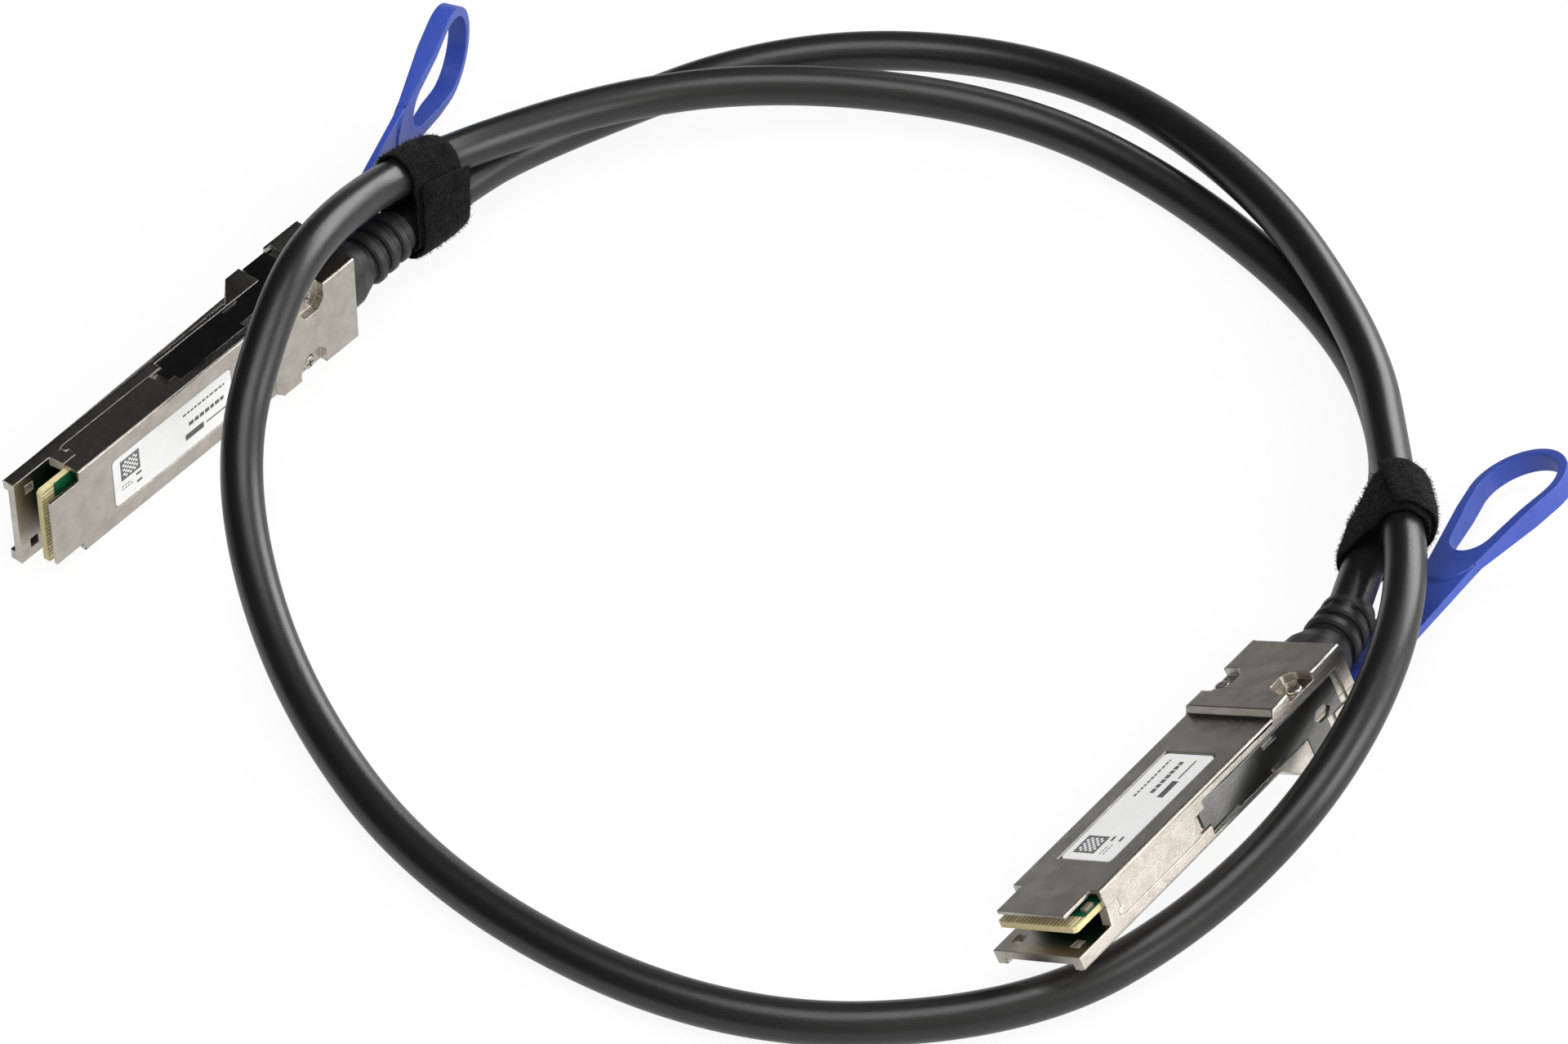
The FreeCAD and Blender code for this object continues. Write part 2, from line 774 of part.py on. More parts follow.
def card_parts(name):
    """Memory chip, coil and small capacitors on the label side of the card."""
    chip = (sheet.chip_length, sheet.chip_length, sheet.chip_height)
    coil = (sheet.coil_length, sheet.coil_width, sheet.coil_height)
    capacitor = (sheet.capacitor_length, sheet.capacitor_width, sheet.capacitor_height)
    chip_end = sheet.chip_start + sheet.chip_length
    edge = sheet.card_half_width - sheet.capacitor_edge
    coil_y = sheet.coil_edge - sheet.card_half_width
    places = [
        (sheet.chip_start, -sheet.chip_length / 2, chip),
        (sheet.coil_start, coil_y, coil),
        (sheet.chip_start + sheet.capacitor_length, -edge, capacitor),
        (sheet.chip_start + sheet.capacitor_length, edge - sheet.capacitor_width, capacitor),
        (chip_end + sheet.capacitor_gap, -sheet.capacitor_width, capacitor),
        (chip_end + sheet.capacitor_gap * 2, edge - sheet.capacitor_width, capacitor),
    ]
    parts = []
    for x, y, (length, width, height) in places:
        parts.append(box(x, y, card_top, x + length, y + width, card_top + height))
    return feature_of(name, Part.makeCompound(parts))


def pair_run(side, index):
    """One shielded pair: laid on the card, then gathered into the cable's bundle."""
    wide = float(sheet.pair_width)
    high = float(sheet.pair_height)
    card_y = (index - 1.5) * float(sheet.pair_pitch)
    card_z = float(card_top) + high / 2 if side > 0 else float(sheet.card_bottom) - high / 2
    bundle_y = (index - 1.5) * float(sheet.bundle_pitch)
    bundle_z = float(sheet.axis_height) + side * float(sheet.bundle_row)
    lap = float(card_end - sheet.pair_lap)
    stations = [
        (lap, card_y, card_z),
        (float(card_end + sheet.mould_length) + 1.0, card_y, card_z),
        (float(cavity_end) - 3.0, bundle_y, bundle_z),
        (float(jacket_start), bundle_y, bundle_z),
    ]
    sections = []
    for x, y, z in stations:
        points = [
            Vector(x, y - wide / 2, z - high / 2),
            Vector(x, y + wide / 2, z - high / 2),
            Vector(x, y + wide / 2, z + high / 2),
            Vector(x, y - wide / 2, z + high / 2),
        ]
        sections.append(Part.makePolygon(points + points[:1]))
    return Part.makeLoft(sections, True, True)


def signal_pairs(name):
    """Eight shielded pairs, four soldered to each face of the card."""
    pairs = [pair_run(side, index) for side in (1, -1) for index in range(4)]
    return feature_of(name, Part.makeCompound(pairs))


def inner_mould(name, pairs):
    """Moulding behind the card that holds the pairs' soldered ends."""
    half = sheet.mould_half_width
    block = box(card_end, -half, sheet.floor_thickness, card_end + sheet.mould_length, half,
                roof - sheet.seat_clearance)
    return feature_of(name, block.cut(pairs.Shape))


def crimp_ring(name):
    """Ferrule crimped on the jacket's end and held between the shells."""
    body = new_body(name)
    end = ring_start + sheet.ring_length
    outer = cable_radius + sheet.ring_wall
    outline = [
        (ring_start, cable_radius),
        (end, cable_radius),
        (end, outer),
        (ring_start, outer),
    ]
    turn_about_axis(body, sheet.axis_height, outline, cut=False)
    return body


def cover_screws(name):
    """Two small screws that hold the shells together."""
    screws = []
    seat = float(sheet.screw_seat)
    for side in (1, -1):
        foot = Vector(float(screw_distance), side * float(sheet.screw_half_pitch), seat)
        head = Part.makeCylinder(float(sheet.screw_head_radius), float(sheet.screw_head_height), foot)
        shank = Part.makeCylinder(
            float(sheet.screw_shank_radius), float(sheet.screw_length), foot, Vector(0, 0, -1)
        )
        screws.append(head.fuse(shank).removeSplitter())
    return feature_of(name, Part.makeCompound(screws))


def label(name):
    """Bare label in the recess of the label side."""
    body = new_body(name)
    margin = sheet.label_margin
    outline = rectangle(
        sheet.label_start + margin,
        margin - sheet.label_half_width,
        sheet.label_start + sheet.label_length - margin,
        sheet.label_half_width - margin,
    )
    extrude(body, "XY", sheet.plug_height - sheet.label_recess, outline, sheet.label_thickness)
    soften(body, sheet.label_corner, lambda middle, run: along_z(run))
    return body


def latch_arm(body, side):
    """Add one side arm to the latch: sunk at its front, with two keeper slots and a window."""
    outer = half_width
    inner = outer - sheet.latch_thickness
    finger = sheet.arm_start - sheet.finger_length
    sunk = sheet.latch_sink
    bent = [
        (finger, outer - sunk),
        (arm_bend_start, outer - sunk),
        (arm_bend_end, outer),
        (arm_end, outer),
        (arm_end, inner),
        (arm_bend_end, inner),
        (arm_bend_start, inner - sunk),
        (finger, inner - sunk),
    ]
    strip = [(x, y * side) for x, y in bent]
    extrude(body, "XY", sheet.arm_bottom, strip, sheet.arm_top - sheet.arm_bottom)
    leg = rectangle(strap_start, inner * side, strap_end, outer * side)
    extrude(body, "XY", -sheet.strap_depth, leg, sheet.arm_bottom + sheet.strap_depth)
    keeper_start = sheet.arm_start + sheet.keeper_start
    keeper_end = keeper_start + sheet.keeper_length
    keeper_top = sheet.arm_top - sheet.keeper_edge
    keeper_bottom = sheet.arm_bottom + sheet.keeper_edge
    before = finger - OVERCUT
    start = strap_start + sheet.window_lead
    end = start + sheet.window_length
    low = sheet.arm_bottom + sheet.window_edge
    slant = sheet.window_height / 2
    holes = [
        rectangle(before, sheet.finger_top, sheet.arm_start, sheet.arm_top + OVERCUT),
        rectangle(before, sheet.arm_bottom - OVERCUT, sheet.arm_start, sheet.finger_bottom),
        rectangle(keeper_start, keeper_top - sheet.keeper_height, keeper_end, keeper_top),
        rectangle(keeper_start, keeper_bottom, keeper_end, keeper_bottom + sheet.keeper_height / 2),
        [
            (start, low + slant),
            (start + slant, low),
            (end - slant, low),
            (end, low + slant),
            (end - slant, low + sheet.window_height),
            (start + slant, low + sheet.window_height),
        ],
    ]
    for hole in holes:
        extrude(body, "XZ", (outer + OVERCUT) * side, hole, sheet.latch_thickness + OVERCUT * 2,
                direction=-side, cut=True)


def latch_slide(name):
    """Stamped latch: two side arms joined by a strap across the bulge, with a tail for the tab."""
    body = new_body(name)
    ear_inner = sheet.spring_half_pitch - ear_half
    ear_outer = sheet.spring_half_pitch + ear_half
    tail_end = anchor_start + sheet.tail_embed
    half_plate = [
        (tail_end, sheet.tail_half_width),
        (strap_end, sheet.tail_half_width),
        (strap_end, ear_inner),
        (spring_push, ear_inner),
        (spring_push, ear_outer),
        (strap_end, ear_outer),
        (strap_end, half_width),
        (strap_start, half_width),
    ]
    plate = half_plate + [(x, -y) for x, y in reversed(half_plate)]
    extrude(body, "XY", -sheet.strap_depth, plate, sheet.strap_thickness)
    block = rectangle(
        tail_block_start, -sheet.tail_half_width, anchor_start, sheet.tail_half_width
    )
    extrude(body, "XY", -sheet.tail_block_depth, block, sheet.tail_block_depth - sheet.tail_block_top)
    for side in (1, -1):
        latch_arm(body, side)
    return body


def latch_springs(name):
    """Two return springs between the strap's ears and the rear wall of the bulge."""
    radius = float(sheet.spring_radius)
    wire = float(sheet.spring_wire)
    start = float(spring_push) + wire / 2
    length = float(spring_seat) - wire / 2 - start
    level = float(strap_top) - float(sheet.strap_thickness) / 2
    steps = int(round(float(sheet.spring_turns) * 6))
    springs = []
    for side in (1, -1):
        middle = side * float(sheet.spring_half_pitch)
        sections = []
        for step in range(steps + 1):
            angle = step * math.pi / 3
            outward = Vector(0, math.cos(angle), math.sin(angle))
            centre = Vector(start + length * step / steps, middle, level) + outward * radius
            along = Vector(wire / 2, 0, 0)
            across = outward * (wire / 2)
            points = [centre - along, centre + across, centre + along, centre - across]
            sections.append(Part.makePolygon(points + points[:1]))
        springs.append(Part.makeLoft(sections, True, True))
    return feature_of(name, Part.makeCompound(springs))


def boot_path(bend):
    """Middle line of the boot: straight in the shell, then bent sideways by an angle in degrees.

    Gives a function from the distance along X to the point and its direction.
    """
    start = float(boot_bend_start)
    height = float(sheet.axis_height)
    length = float(boot_end) - start

    def place(distance):
        if bend == 0.0 or distance <= start:
            return Vector(distance, 0, height), Vector(1, 0, 0)
        radius = length / math.radians(bend)
        angle = min(distance - start, length) / radius
        return (
            Vector(start + radius * math.sin(angle), radius * (1 - math.cos(angle)), height),
            Vector(math.cos(angle), math.sin(angle), 0),
        )

    return place


def boot_wire(bend, start, beyond):
    """Wire along the boot's middle line from a distance before its bend to beyond its end."""
    place = boot_path(bend)
    bend_start = float(boot_bend_start)
    end = float(boot_end)
    if bend == 0.0:
        return Part.Wire([Part.LineSegment(place(start)[0], place(end + beyond)[0]).toShape()])
    end_point, end_direction = place(end)
    edges = [
        Part.LineSegment(place(start)[0], place(bend_start)[0]).toShape(),
        Part.Arc(place(bend_start)[0], place((bend_start + end) / 2)[0], end_point).toShape(),
    ]
    if beyond > 0.0:
        edges.append(Part.LineSegment(end_point, end_point + end_direction * beyond).toShape())
    return Part.Wire(edges)


def round_tube(wire, radius):
    """Solid round tube along a wire of lines and tangent arcs, made of cylinders and torus pieces."""
    edges = wire.OrderedEdges
    first = edges[0]
    direction = first.tangentAt(first.FirstParameter)
    start = first.valueAt(first.FirstParameter)
    ring = Part.makeCircle(radius, start, direction)
    faces = [Part.Face(Part.Wire([ring]))]
    for edge in edges:
        if edge.Curve.TypeId == "Part::GeomLine":
            run = edge.valueAt(edge.LastParameter) - edge.valueAt(edge.FirstParameter)
            faces.append(ring.extrude(run))
            ring = ring.translated(run)
        else:
            centre = edge.Curve.Center
            axis = edge.Curve.Axis
            angle = math.degrees(edge.LastParameter - edge.FirstParameter)
            faces.append(ring.revolve(centre, axis, angle))
            ring = ring.copy()
            ring.rotate(centre, axis, angle)
    faces.append(Part.Face(Part.Wire([ring])))
    shell = Part.Shell(faces)
    shell.sewShape()
    solid = Part.Solid(shell)
    if solid.Volume < 0:
        solid.reverse()
    return solid


def oval(x, width, height, level):
    """Oval wire across X: two half circles joined by straight sides."""
    radius = height / 2
    reach = width / 2 - radius
    left, right = -reach, reach
    edges = [
        Part.LineSegment(Vector(x, left, level - radius), Vector(x, right, level - radius)).toShape(),
        Part.Arc(
            Vector(x, right, level - radius),
            Vector(x, right + radius, level),
            Vector(x, right, level + radius),
        ).toShape(),
        Part.LineSegment(Vector(x, right, level + radius), Vector(x, left, level + radius)).toShape(),
        Part.Arc(
            Vector(x, left, level + radius),
            Vector(x, left - radius, level),
            Vector(x, left, level - radius),
        ).toShape(),
    ]
    return Part.Wire(edges)


def strain_boot(name, bend):
    """Moulded boot: flange and neck in the shell, oval base, and a ringed sleeve on the cable."""
    level = float(sheet.axis_height)
    base_start = float(sheet.shell_length)
    base_end = base_start + float(sheet.boot_base_length)
    core = float(sheet.boot_core_radius)
    width = float(sheet.boot_base_width)
    height = float(sheet.boot_base_height)
    place = boot_path(bend)
    front = float(flange_start)
    foot = Vector(front, 0, level)
    ahead = Vector(1, 0, 0)
    flange = Part.makeCylinder(float(sheet.flange_radius), float(sheet.flange_length), foot, ahead)
    neck = Part.makeCylinder(float(sheet.neck_radius), base_start + 0.5 - front, foot, ahead)
    base = Part.makeLoft(
        [
            oval(base_start, width, height, level),
            oval(base_start + 0.55 * (base_end - base_start), width * 0.97, height * 0.97, level),
            oval(base_end, width * 0.76, height * 0.84, level),
        ],
        True, True,
    )
    sleeve_start = base_start - 2.0
    sleeve = round_tube(boot_wire(bend, sleeve_start, 0.0), core)
    solid = base.fuse([flange, neck, sleeve])
    ring_length = float(sheet.boot_ring_length)
    for index in range(3):
        ring_from = base_start + float(sheet.boot_ring_distance + sheet.boot_ring_pitch * index)
        middle, direction = place(ring_from + ring_length / 2)
        radius = float(sheet.boot_ring_radius - sheet.boot_ring_taper * index)
        ring = Part.makeCylinder(
            radius, ring_length, middle - direction * (ring_length / 2), direction
        )
        rims = [edge for edge in ring.Edges if edge.Curve.TypeId == "Part::GeomCircle"]
        ring = ring.makeChamfer(float(sheet.boot_ring_chamfer), rims)
        solid = solid.fuse(ring)
    bore = round_tube(boot_wire(bend, front - OVERCUT, OVERCUT), float(cable_radius))
    solid = solid.cut(bore)
    return feature_of(name, solid.removeSplitter())


def loop_outline(wall):
    """Teardrop outline of the finger loop in the tab's plane, inset from its outside by a wall."""
    length = float(sheet.tab_length)
    big = float(sheet.loop_width) / 2 - wall
    centre = length - float(sheet.loop_width) / 2
    if wall == 0.0:
        small = float(sheet.tab_width) / 2
        tip = length - float(sheet.loop_length)
    else:
        small = float(sheet.loop_tip_radius)
        tip = length - float(sheet.loop_length) + float(sheet.loop_neck) + small
    spread = math.asin((big - small) / (centre - tip))
    lean = Vector(-math.sin(spread), math.cos(spread), 0)
    far_up = Vector(centre, 0, 0) + lean * big
    near_up = Vector(tip, 0, 0) + lean * small
    far_down = Vector(far_up.x, -far_up.y, 0)
    near_down = Vector(near_up.x, -near_up.y, 0)
    edges = [
        Part.LineSegment(near_up, far_up).toShape(),
        Part.Arc(far_up, Vector(centre + big, 0, 0), far_down).toShape(),
        Part.LineSegment(far_down, near_down).toShape(),
        Part.Arc(near_down, Vector(tip - small, 0, 0), near_up).toShape(),
    ]
    return Part.Wire(edges)


def finger_loop():
    """Finger loop in the tab's plane: a teardrop band that grows deeper towards its far end."""
    depth = float(sheet.loop_depth)
    thin = float(sheet.tab_thickness)
    length = float(sheet.tab_length)
    start = length - float(sheet.loop_length)
    outer = Part.Face(loop_outline(0.0))
    hole = Part.Face(loop_outline(float(sheet.loop_wall)))
    band = outer.cut(hole).extrude(Vector(0, 0, depth))
    band.translate(Vector(0, 0, -depth / 2))
    wide = float(sheet.loop_width)
    low = thin / 2 + float(sheet.loop_step)
    swollen = start + float(sheet.loop_swell)
    upper = [
        Vector(start - wide, -wide, low),
        Vector(start, -wide, low),
        Vector(swollen, -wide, depth / 2),
        Vector(length + OVERCUT, -wide, depth / 2),
    ]
    side = upper + [Vector(point.x, point.y, -point.z) for point in reversed(upper)]
    wedge = Part.Face(Part.makePolygon(side + side[:1])).extrude(Vector(0, 2 * wide, 0))
    return band.common(wedge)


def pull_tab(name, straight, bend, swing):
    """Moulded tab: anchor over the latch's tail, a bent flat strip and a finger loop."""
    half = float(sheet.anchor_half_width)
    anchor = box(anchor_start, -half, -sheet.anchor_depth, anchor_end, half, -sheet.anchor_top)
    anchor = anchor.makeChamfer(
        0.6, [edge for edge in anchor.Edges if abs(edge.CenterOfMass.x - float(anchor_end)) < 0.01
              or abs(abs(edge.CenterOfMass.y) - half) < 0.01]
    )
    tail = box(anchor_start - 1.0, -sheet.tail_half_width, -sheet.strap_depth,
               anchor_start + sheet.tail_embed, sheet.tail_half_width, strap_top)
    anchor = anchor.cut(tail)
    level = -float(sheet.tab_centre)
    root = Vector(float(anchor_end) - 0.8, 0, level)
    hinge = Vector(float(anchor_end) + straight, 0, level)
    sign = 1.0 if bend > 0 else -1.0
    angle = math.radians(abs(bend))
    radius = float(sheet.tab_bend_radius)

    def bent(part):
        return hinge + Vector(radius * math.sin(part), 0, -sign * radius * (1 - math.cos(part)))

    bend_end = bent(angle)
    forward = Vector(math.cos(angle), 0, -sign * math.sin(angle))
    used = straight + radius * angle
    flat = float(sheet.tab_length) - float(sheet.loop_length) + 1.0 - used
    wire = Part.Wire([
        Part.LineSegment(root, hinge).toShape(),
        Part.Arc(hinge, bent(angle / 2), bend_end).toShape(),
        Part.LineSegment(bend_end, bend_end + forward * flat).toShape(),
    ])
    half_strip = float(sheet.tab_width) / 2
    half_thin = float(sheet.tab_thickness) / 2
    corners = [
        root + Vector(0, -half_strip, -half_thin),
        root + Vector(0, half_strip, -half_thin),
        root + Vector(0, half_strip, half_thin),
        root + Vector(0, -half_strip, half_thin),
    ]
    strip = wire.makePipeShell([Part.makePolygon(corners + corners[:1])], True, False)
    loop = finger_loop()
    lean = FreeCAD.Rotation(Vector(0, 1, 0), math.degrees(sign * angle))
    loop.Placement = FreeCAD.Placement(bend_end - forward * used, lean)
    free_part = strip.fuse(loop)
    free_part.rotate(root, Vector(0, 0, 1), swing)
    return feature_of(name, anchor.fuse(free_part).removeSplitter())


# ---------------------------------------------------------------- the two plugs


def placement_of(plug):
    """Placement of a plug on the table."""
    return FreeCAD.Placement(Vector(*plug["nose"]), FreeCAD.Rotation(*plug["turn"]))


def build_plug(side, plug):
    """Build every piece of one plug in the plug's frame, then lay them on the table."""
    prefix = side + "_"
    pairs = signal_pairs(prefix + "signal_pairs")
    pieces = [
        upper_shell(prefix + "upper_shell"),
        lower_shell(prefix + "lower_shell"),
        paddle_card(prefix + "paddle_card"),
        card_pads(prefix + "card_pads"),
        card_parts(prefix + "card_parts"),
        pairs,
        inner_mould(prefix + "inner_mould", pairs),
        crimp_ring(prefix + "crimp_ring"),
        cover_screws(prefix + "cover_screws"),
        label(prefix + "label"),
        strain_boot(prefix + "strain_boot", plug["boot_bend"]),
        latch_slide(prefix + "latch_slide"),
        latch_springs(prefix + "latch_springs"),
        pull_tab(prefix + "pull_tab", plug["tab_straight"], plug["tab_bend"], plug["tab_swing"]),
    ]
    placement = placement_of(plug)
    for piece in pieces:
        piece.Placement = placement
    return pieces


# ---------------------------------------------------------------- cable and ties


def cable_route():
    """Corners of the whole route: from one jacket end, out of its boot, round, and into the other."""
    jacket = float(jacket_start)
    height = float(sheet.axis_height)
    first = placement_of(PLUGS["left"]).multVec(Vector(jacket, 0, height))
    right = placement_of(PLUGS["right"])
    length = float(boot_end - boot_bend_start)
    half_turn = math.radians(PLUGS["right"]["boot_bend"]) / 2
    corner = float(boot_bend_start) + length / (2 * half_turn) * math.tan(half_turn)
    bend = right.multVec(Vector(corner, 0, height))
    last = right.multVec(Vector(jacket, 0, height))
    return [first] + [Vector(*point) for point in ROUTE] + [bend, last]


def rounded_wire(points):
    """Straight runs joined by tangent arcs, each as large as its two runs allow."""
    edges = []
    length = 0.0
    start = points[0]
    for before, corner, after in zip(points, points[1:], points[2:]):
        incoming = corner - before
        outgoing = after - corner
        shorter = min(incoming.Length, outgoing.Length)
        turn = incoming.getAngle(outgoing)
        radius = 0.45 * shorter / math.tan(turn / 2)
        ahead = Vector(outgoing).normalize()
        back = Vector(incoming).normalize() * -1
        enter = corner + back * (0.45 * shorter)
        leave = corner + ahead * (0.45 * shorter)
        inward = (back + ahead).normalize()
        crown = corner + inward * (radius / math.cos(turn / 2) - radius)
        edges.append(Part.LineSegment(start, enter).toShape())
        edges.append(Part.Arc(enter, crown, leave).toShape())
        length += (enter - start).Length + radius * turn
        print("route corner", [round(value, 1) for value in corner],
              "run", round(incoming.Length, 1), "turn", round(math.degrees(turn), 1),
              "radius", round(radius, 1))
        start = leave
    edges.append(Part.LineSegment(start, points[-1]).toShape())
    length += (points[-1] - start).Length
    return Part.Wire(edges), length


def cable(name, wire, length):
    """The jacketed cable, from one crimp ring to the other."""
    radius = float(cable_radius)
    tube = round_tube(wire, radius)
    expected = math.pi * radius ** 2 * length
    print("cable length", round(length, 1), "volume over section times length",
          round(tube.Volume / expected, 5))
    return feature_of(name, tube)


def strands_at(wire, place, along, reach):
    """Where a wire crosses the plane through a place, within reach of it, lowest first."""
    points = wire.discretize(Distance=0.5)
    crossings = []
    for start, end in zip(points, points[1:]):
        before = (start - place).dot(along)
        after = (end - place).dot(along)
        if before * after > 0 or before == after:
            continue
        point = start + (end - start) * (before / (before - after))
        if (point - place).Length < reach:
            crossings.append(point)
    return sorted(crossings, key=lambda point: point.z)


def strap_loop(low, high, radius, along):
    """Wire round two circles of one radius, in the plane across a direction."""
    apart = (high - low).normalize()
    side = along.cross(apart)
    corners = [low - side * radius, low + side * radius, high + side * radius, high - side * radius]
    return Part.Wire([
        Part.Arc(corners[0], low - apart * radius, corners[1]).toShape(),
        Part.LineSegment(corners[1], corners[2]).toShape(),
        Part.Arc(corners[2], high + apart * radius, corners[3]).toShape(),
        Part.LineSegment(corners[3], corners[0]).toShape(),
    ])


def strap_tie(name, tie, wire):
    """A soft hook-and-loop strap, closed round two strands of the cable."""
    along = Vector(*tie["along"]).normalize()
    place = Vector(*tie["place"])
    inside = float(cable_radius + sheet.tie_clearance)
    outside = inside + float(sheet.tie_thickness)
    half = float(sheet.tie_width) / 2
    outer = []
    inner = []
    for offset in (-half, 0.0, half):
        low, high = strands_at(wire, place + along * offset, along, 3 * float(sheet.cable_diameter))
        outer.append(strap_loop(low, high, outside, along))
        inner.append(strap_loop(low, high, inside, along))
    band = Part.makeLoft(outer, True, True).cut(Part.makeLoft(inner, True, True))
    return feature_of(name, band)


# ---------------------------------------------------------------- build, check and write

sub_parts = []
for side, plug in PLUGS.items():
    sub_parts += build_plug(side, plug)
route_wire, route_length = rounded_wire(cable_route())
sub_parts.append(cable("cable", route_wire, route_length))
for tie_name, tie in TIES.items():
    sub_parts.append(strap_tie(tie_name, tie, route_wire))
document.recompute()

for item in document.Objects:
    if "Invalid" in item.State or "Error" in item.State:
        raise RuntimeError(item.Name + " failed: " + str(item.State))
for piece in sub_parts:
    shape = piece.Shape
    if shape.isNull() or not shape.isValid() or not shape.Solids:
        raise RuntimeError(piece.Label + " has no valid solid")

os.makedirs("parts", exist_ok=True)
for piece in sub_parts:
    piece.Shape.exportStep("parts/" + piece.Label + ".step")

rigid = FreeCAD.BoundBox()
for piece in sub_parts:
    if piece.Label != "cable":
        rigid.add(piece.Shape.BoundBox)
print("nodes", len(sub_parts))
print("rigid box", rigid)
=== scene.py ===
"""Looks of a direct attach copper cable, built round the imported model.

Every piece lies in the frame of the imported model, in metres. A plug has its own frame: X runs from
the nose to the cable, Y across the plug, and Z from the latch side up to the label side.
"""

import logging
import math
import random
from collections.abc import Iterator
from contextlib import contextmanager
from dataclasses import dataclass, field
from enum import Enum
from typing import ClassVar

import bpy
from mathutils import Matrix, Vector, noise


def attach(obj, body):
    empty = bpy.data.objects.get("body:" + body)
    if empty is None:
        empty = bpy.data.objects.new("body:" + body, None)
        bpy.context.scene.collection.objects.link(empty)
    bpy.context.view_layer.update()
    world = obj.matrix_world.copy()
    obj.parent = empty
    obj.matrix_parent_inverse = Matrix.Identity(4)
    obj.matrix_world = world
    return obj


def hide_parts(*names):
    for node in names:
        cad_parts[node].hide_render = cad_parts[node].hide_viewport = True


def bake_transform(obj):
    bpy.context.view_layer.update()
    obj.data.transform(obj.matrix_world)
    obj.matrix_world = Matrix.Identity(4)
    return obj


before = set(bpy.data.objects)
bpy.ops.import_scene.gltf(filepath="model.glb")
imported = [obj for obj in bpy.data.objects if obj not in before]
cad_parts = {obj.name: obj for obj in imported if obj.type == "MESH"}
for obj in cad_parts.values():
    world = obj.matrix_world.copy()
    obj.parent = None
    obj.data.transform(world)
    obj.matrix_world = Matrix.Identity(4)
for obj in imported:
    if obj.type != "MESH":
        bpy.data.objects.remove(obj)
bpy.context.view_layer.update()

Colour = tuple[float, float, float]
Point = tuple[float, float, float]
Span = tuple[float, float]
Object = bpy.types.Object
Material = bpy.types.Material
Tree = bpy.types.NodeTree
Node = bpy.types.Node
Socket = bpy.types.NodeSocket
Finishes = dict[str, Material]

MM = 0.001
ROOT = "cable_assembly"
UNIT = (0.0, 1.0)
WHITE = (1.0, 1.0, 1.0, 1.0)

log = logging.getLogger("cable")


# ---- small tools


def deselect() -> None:
    """Deselect every object."""
    for obj in bpy.context.selected_objects:
        obj.select_set(False)


def pick(obj: Object) -> None:
    """Make one object the only selected and active one.

    Args:
        obj: The object to select.
    """
    deselect()
    obj.select_set(True)
    bpy.context.view_layer.objects.active = obj


@contextmanager
def editing(obj: Object) -> Iterator[None]:
    """Keep an object in edit mode for a with block.

    Args:
        obj: The object, whose whole mesh is selected at the start.

    Returns:
        The context of the block.
    """
    pick(obj)
    bpy.ops.object.mode_set(mode="EDIT")
    bpy.ops.mesh.select_all(action="SELECT")
    yield
    bpy.ops.object.mode_set(mode="OBJECT")


def modify(obj: Object, name: str, kind: str, **settings: object) -> None:
    """Add a modifier to an object and apply it.

    Args:
        obj: The object.
        name: The modifier's name.
        kind: Its type.
        settings: Its settings.
    """
    pick(obj)
    modifier = obj.modifiers.new(name, kind)
    for key, value in settings.items():
        setattr(modifier, key, value)
    bpy.ops.object.modifier_apply(modifier=modifier.name)


def smooth_below(obj: Object, angle: float) -> None:
    """Shade a mesh smooth, apart from edges sharper than an angle in radians."""
    pick(obj)
    bpy.ops.object.shade_smooth_by_angle(angle=angle)


def join(main: Object, *others: Object) -> None:
    """Join objects into one.

    Args:
        main: The object that stays.
        others: The objects that go into it.
    """
    pick(main)
    for other in others:
        other.select_set(True)
    bpy.ops.object.join()


def settle(obj: Object, place: Matrix) -> None:
    """Put an object's mesh in its place, with the object itself at the origin.

    Args:
        obj: The object, modelled in its own frame.
        place: The matrix from that frame to the model's frame.
    """
    obj.data.transform(place @ obj.matrix_world)
    obj.matrix_world = Matrix.Identity(4)
    obj.data.update()


def dress(obj: Object, material: Material) -> None:
    """Give an object one material in all its slots.

    Args:
        obj: A mesh or curve object.
        material: The material that it gets.
    """
    if not obj.material_slots:
        obj.data.materials.append(material)
    for slot in obj.material_slots:
        slot.material = material


def seat(
    obj: Object,
    body: str,
    material: Material,
    instead_of: str | None = None,
) -> None:
    """Finish a new piece: its material, its body and the node it replaces.

    Args:
        obj: The new piece, already in place.
        body: The body that it rides on.
        material: The finish.
        instead_of: The node that it replaces, if it replaces one.
    """
    dress(obj, material)
    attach(obj, body)
    if instead_of:
        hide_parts(instead_of)
    log.info("piece %s on %s", obj.name, body)


def add_object(name: str, data: bpy.types.ID) -> Object:
    """Make an object and link it to the scene.

    Args:
        name: Its name.
        data: Its mesh, curve, lamp or camera.

    Returns:
        The object.
    """
    obj = bpy.data.objects.new(name, data)
    bpy.context.scene.collection.objects.link(obj)
    return obj


def new_mesh(name: str, points: list[Vector], faces: list[tuple[int, ...]]) -> Object:
    """Make a mesh object from points and faces.

    Args:
        name: Name of the piece.
        points: Its points.
        faces: Its faces, as indices of points.

    Returns:
        The object, linked to the scene.
    """
    mesh = bpy.data.meshes.new(name)
    mesh.from_pydata([tuple(point) for point in points], [], faces)
    mesh.update()
    return add_object(name, mesh)


def copy_of(node: str, name: str) -> Object:
    """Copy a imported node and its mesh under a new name."""
    return add_object(name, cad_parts[node].data.copy())


MERGE_REACH = 5e-6
FLAT_ANGLE = math.radians(0.5)
ANY_ANGLE = math.radians(180)
EDGE_ANGLE = math.radians(34)
FACE_WEIGHT = 90


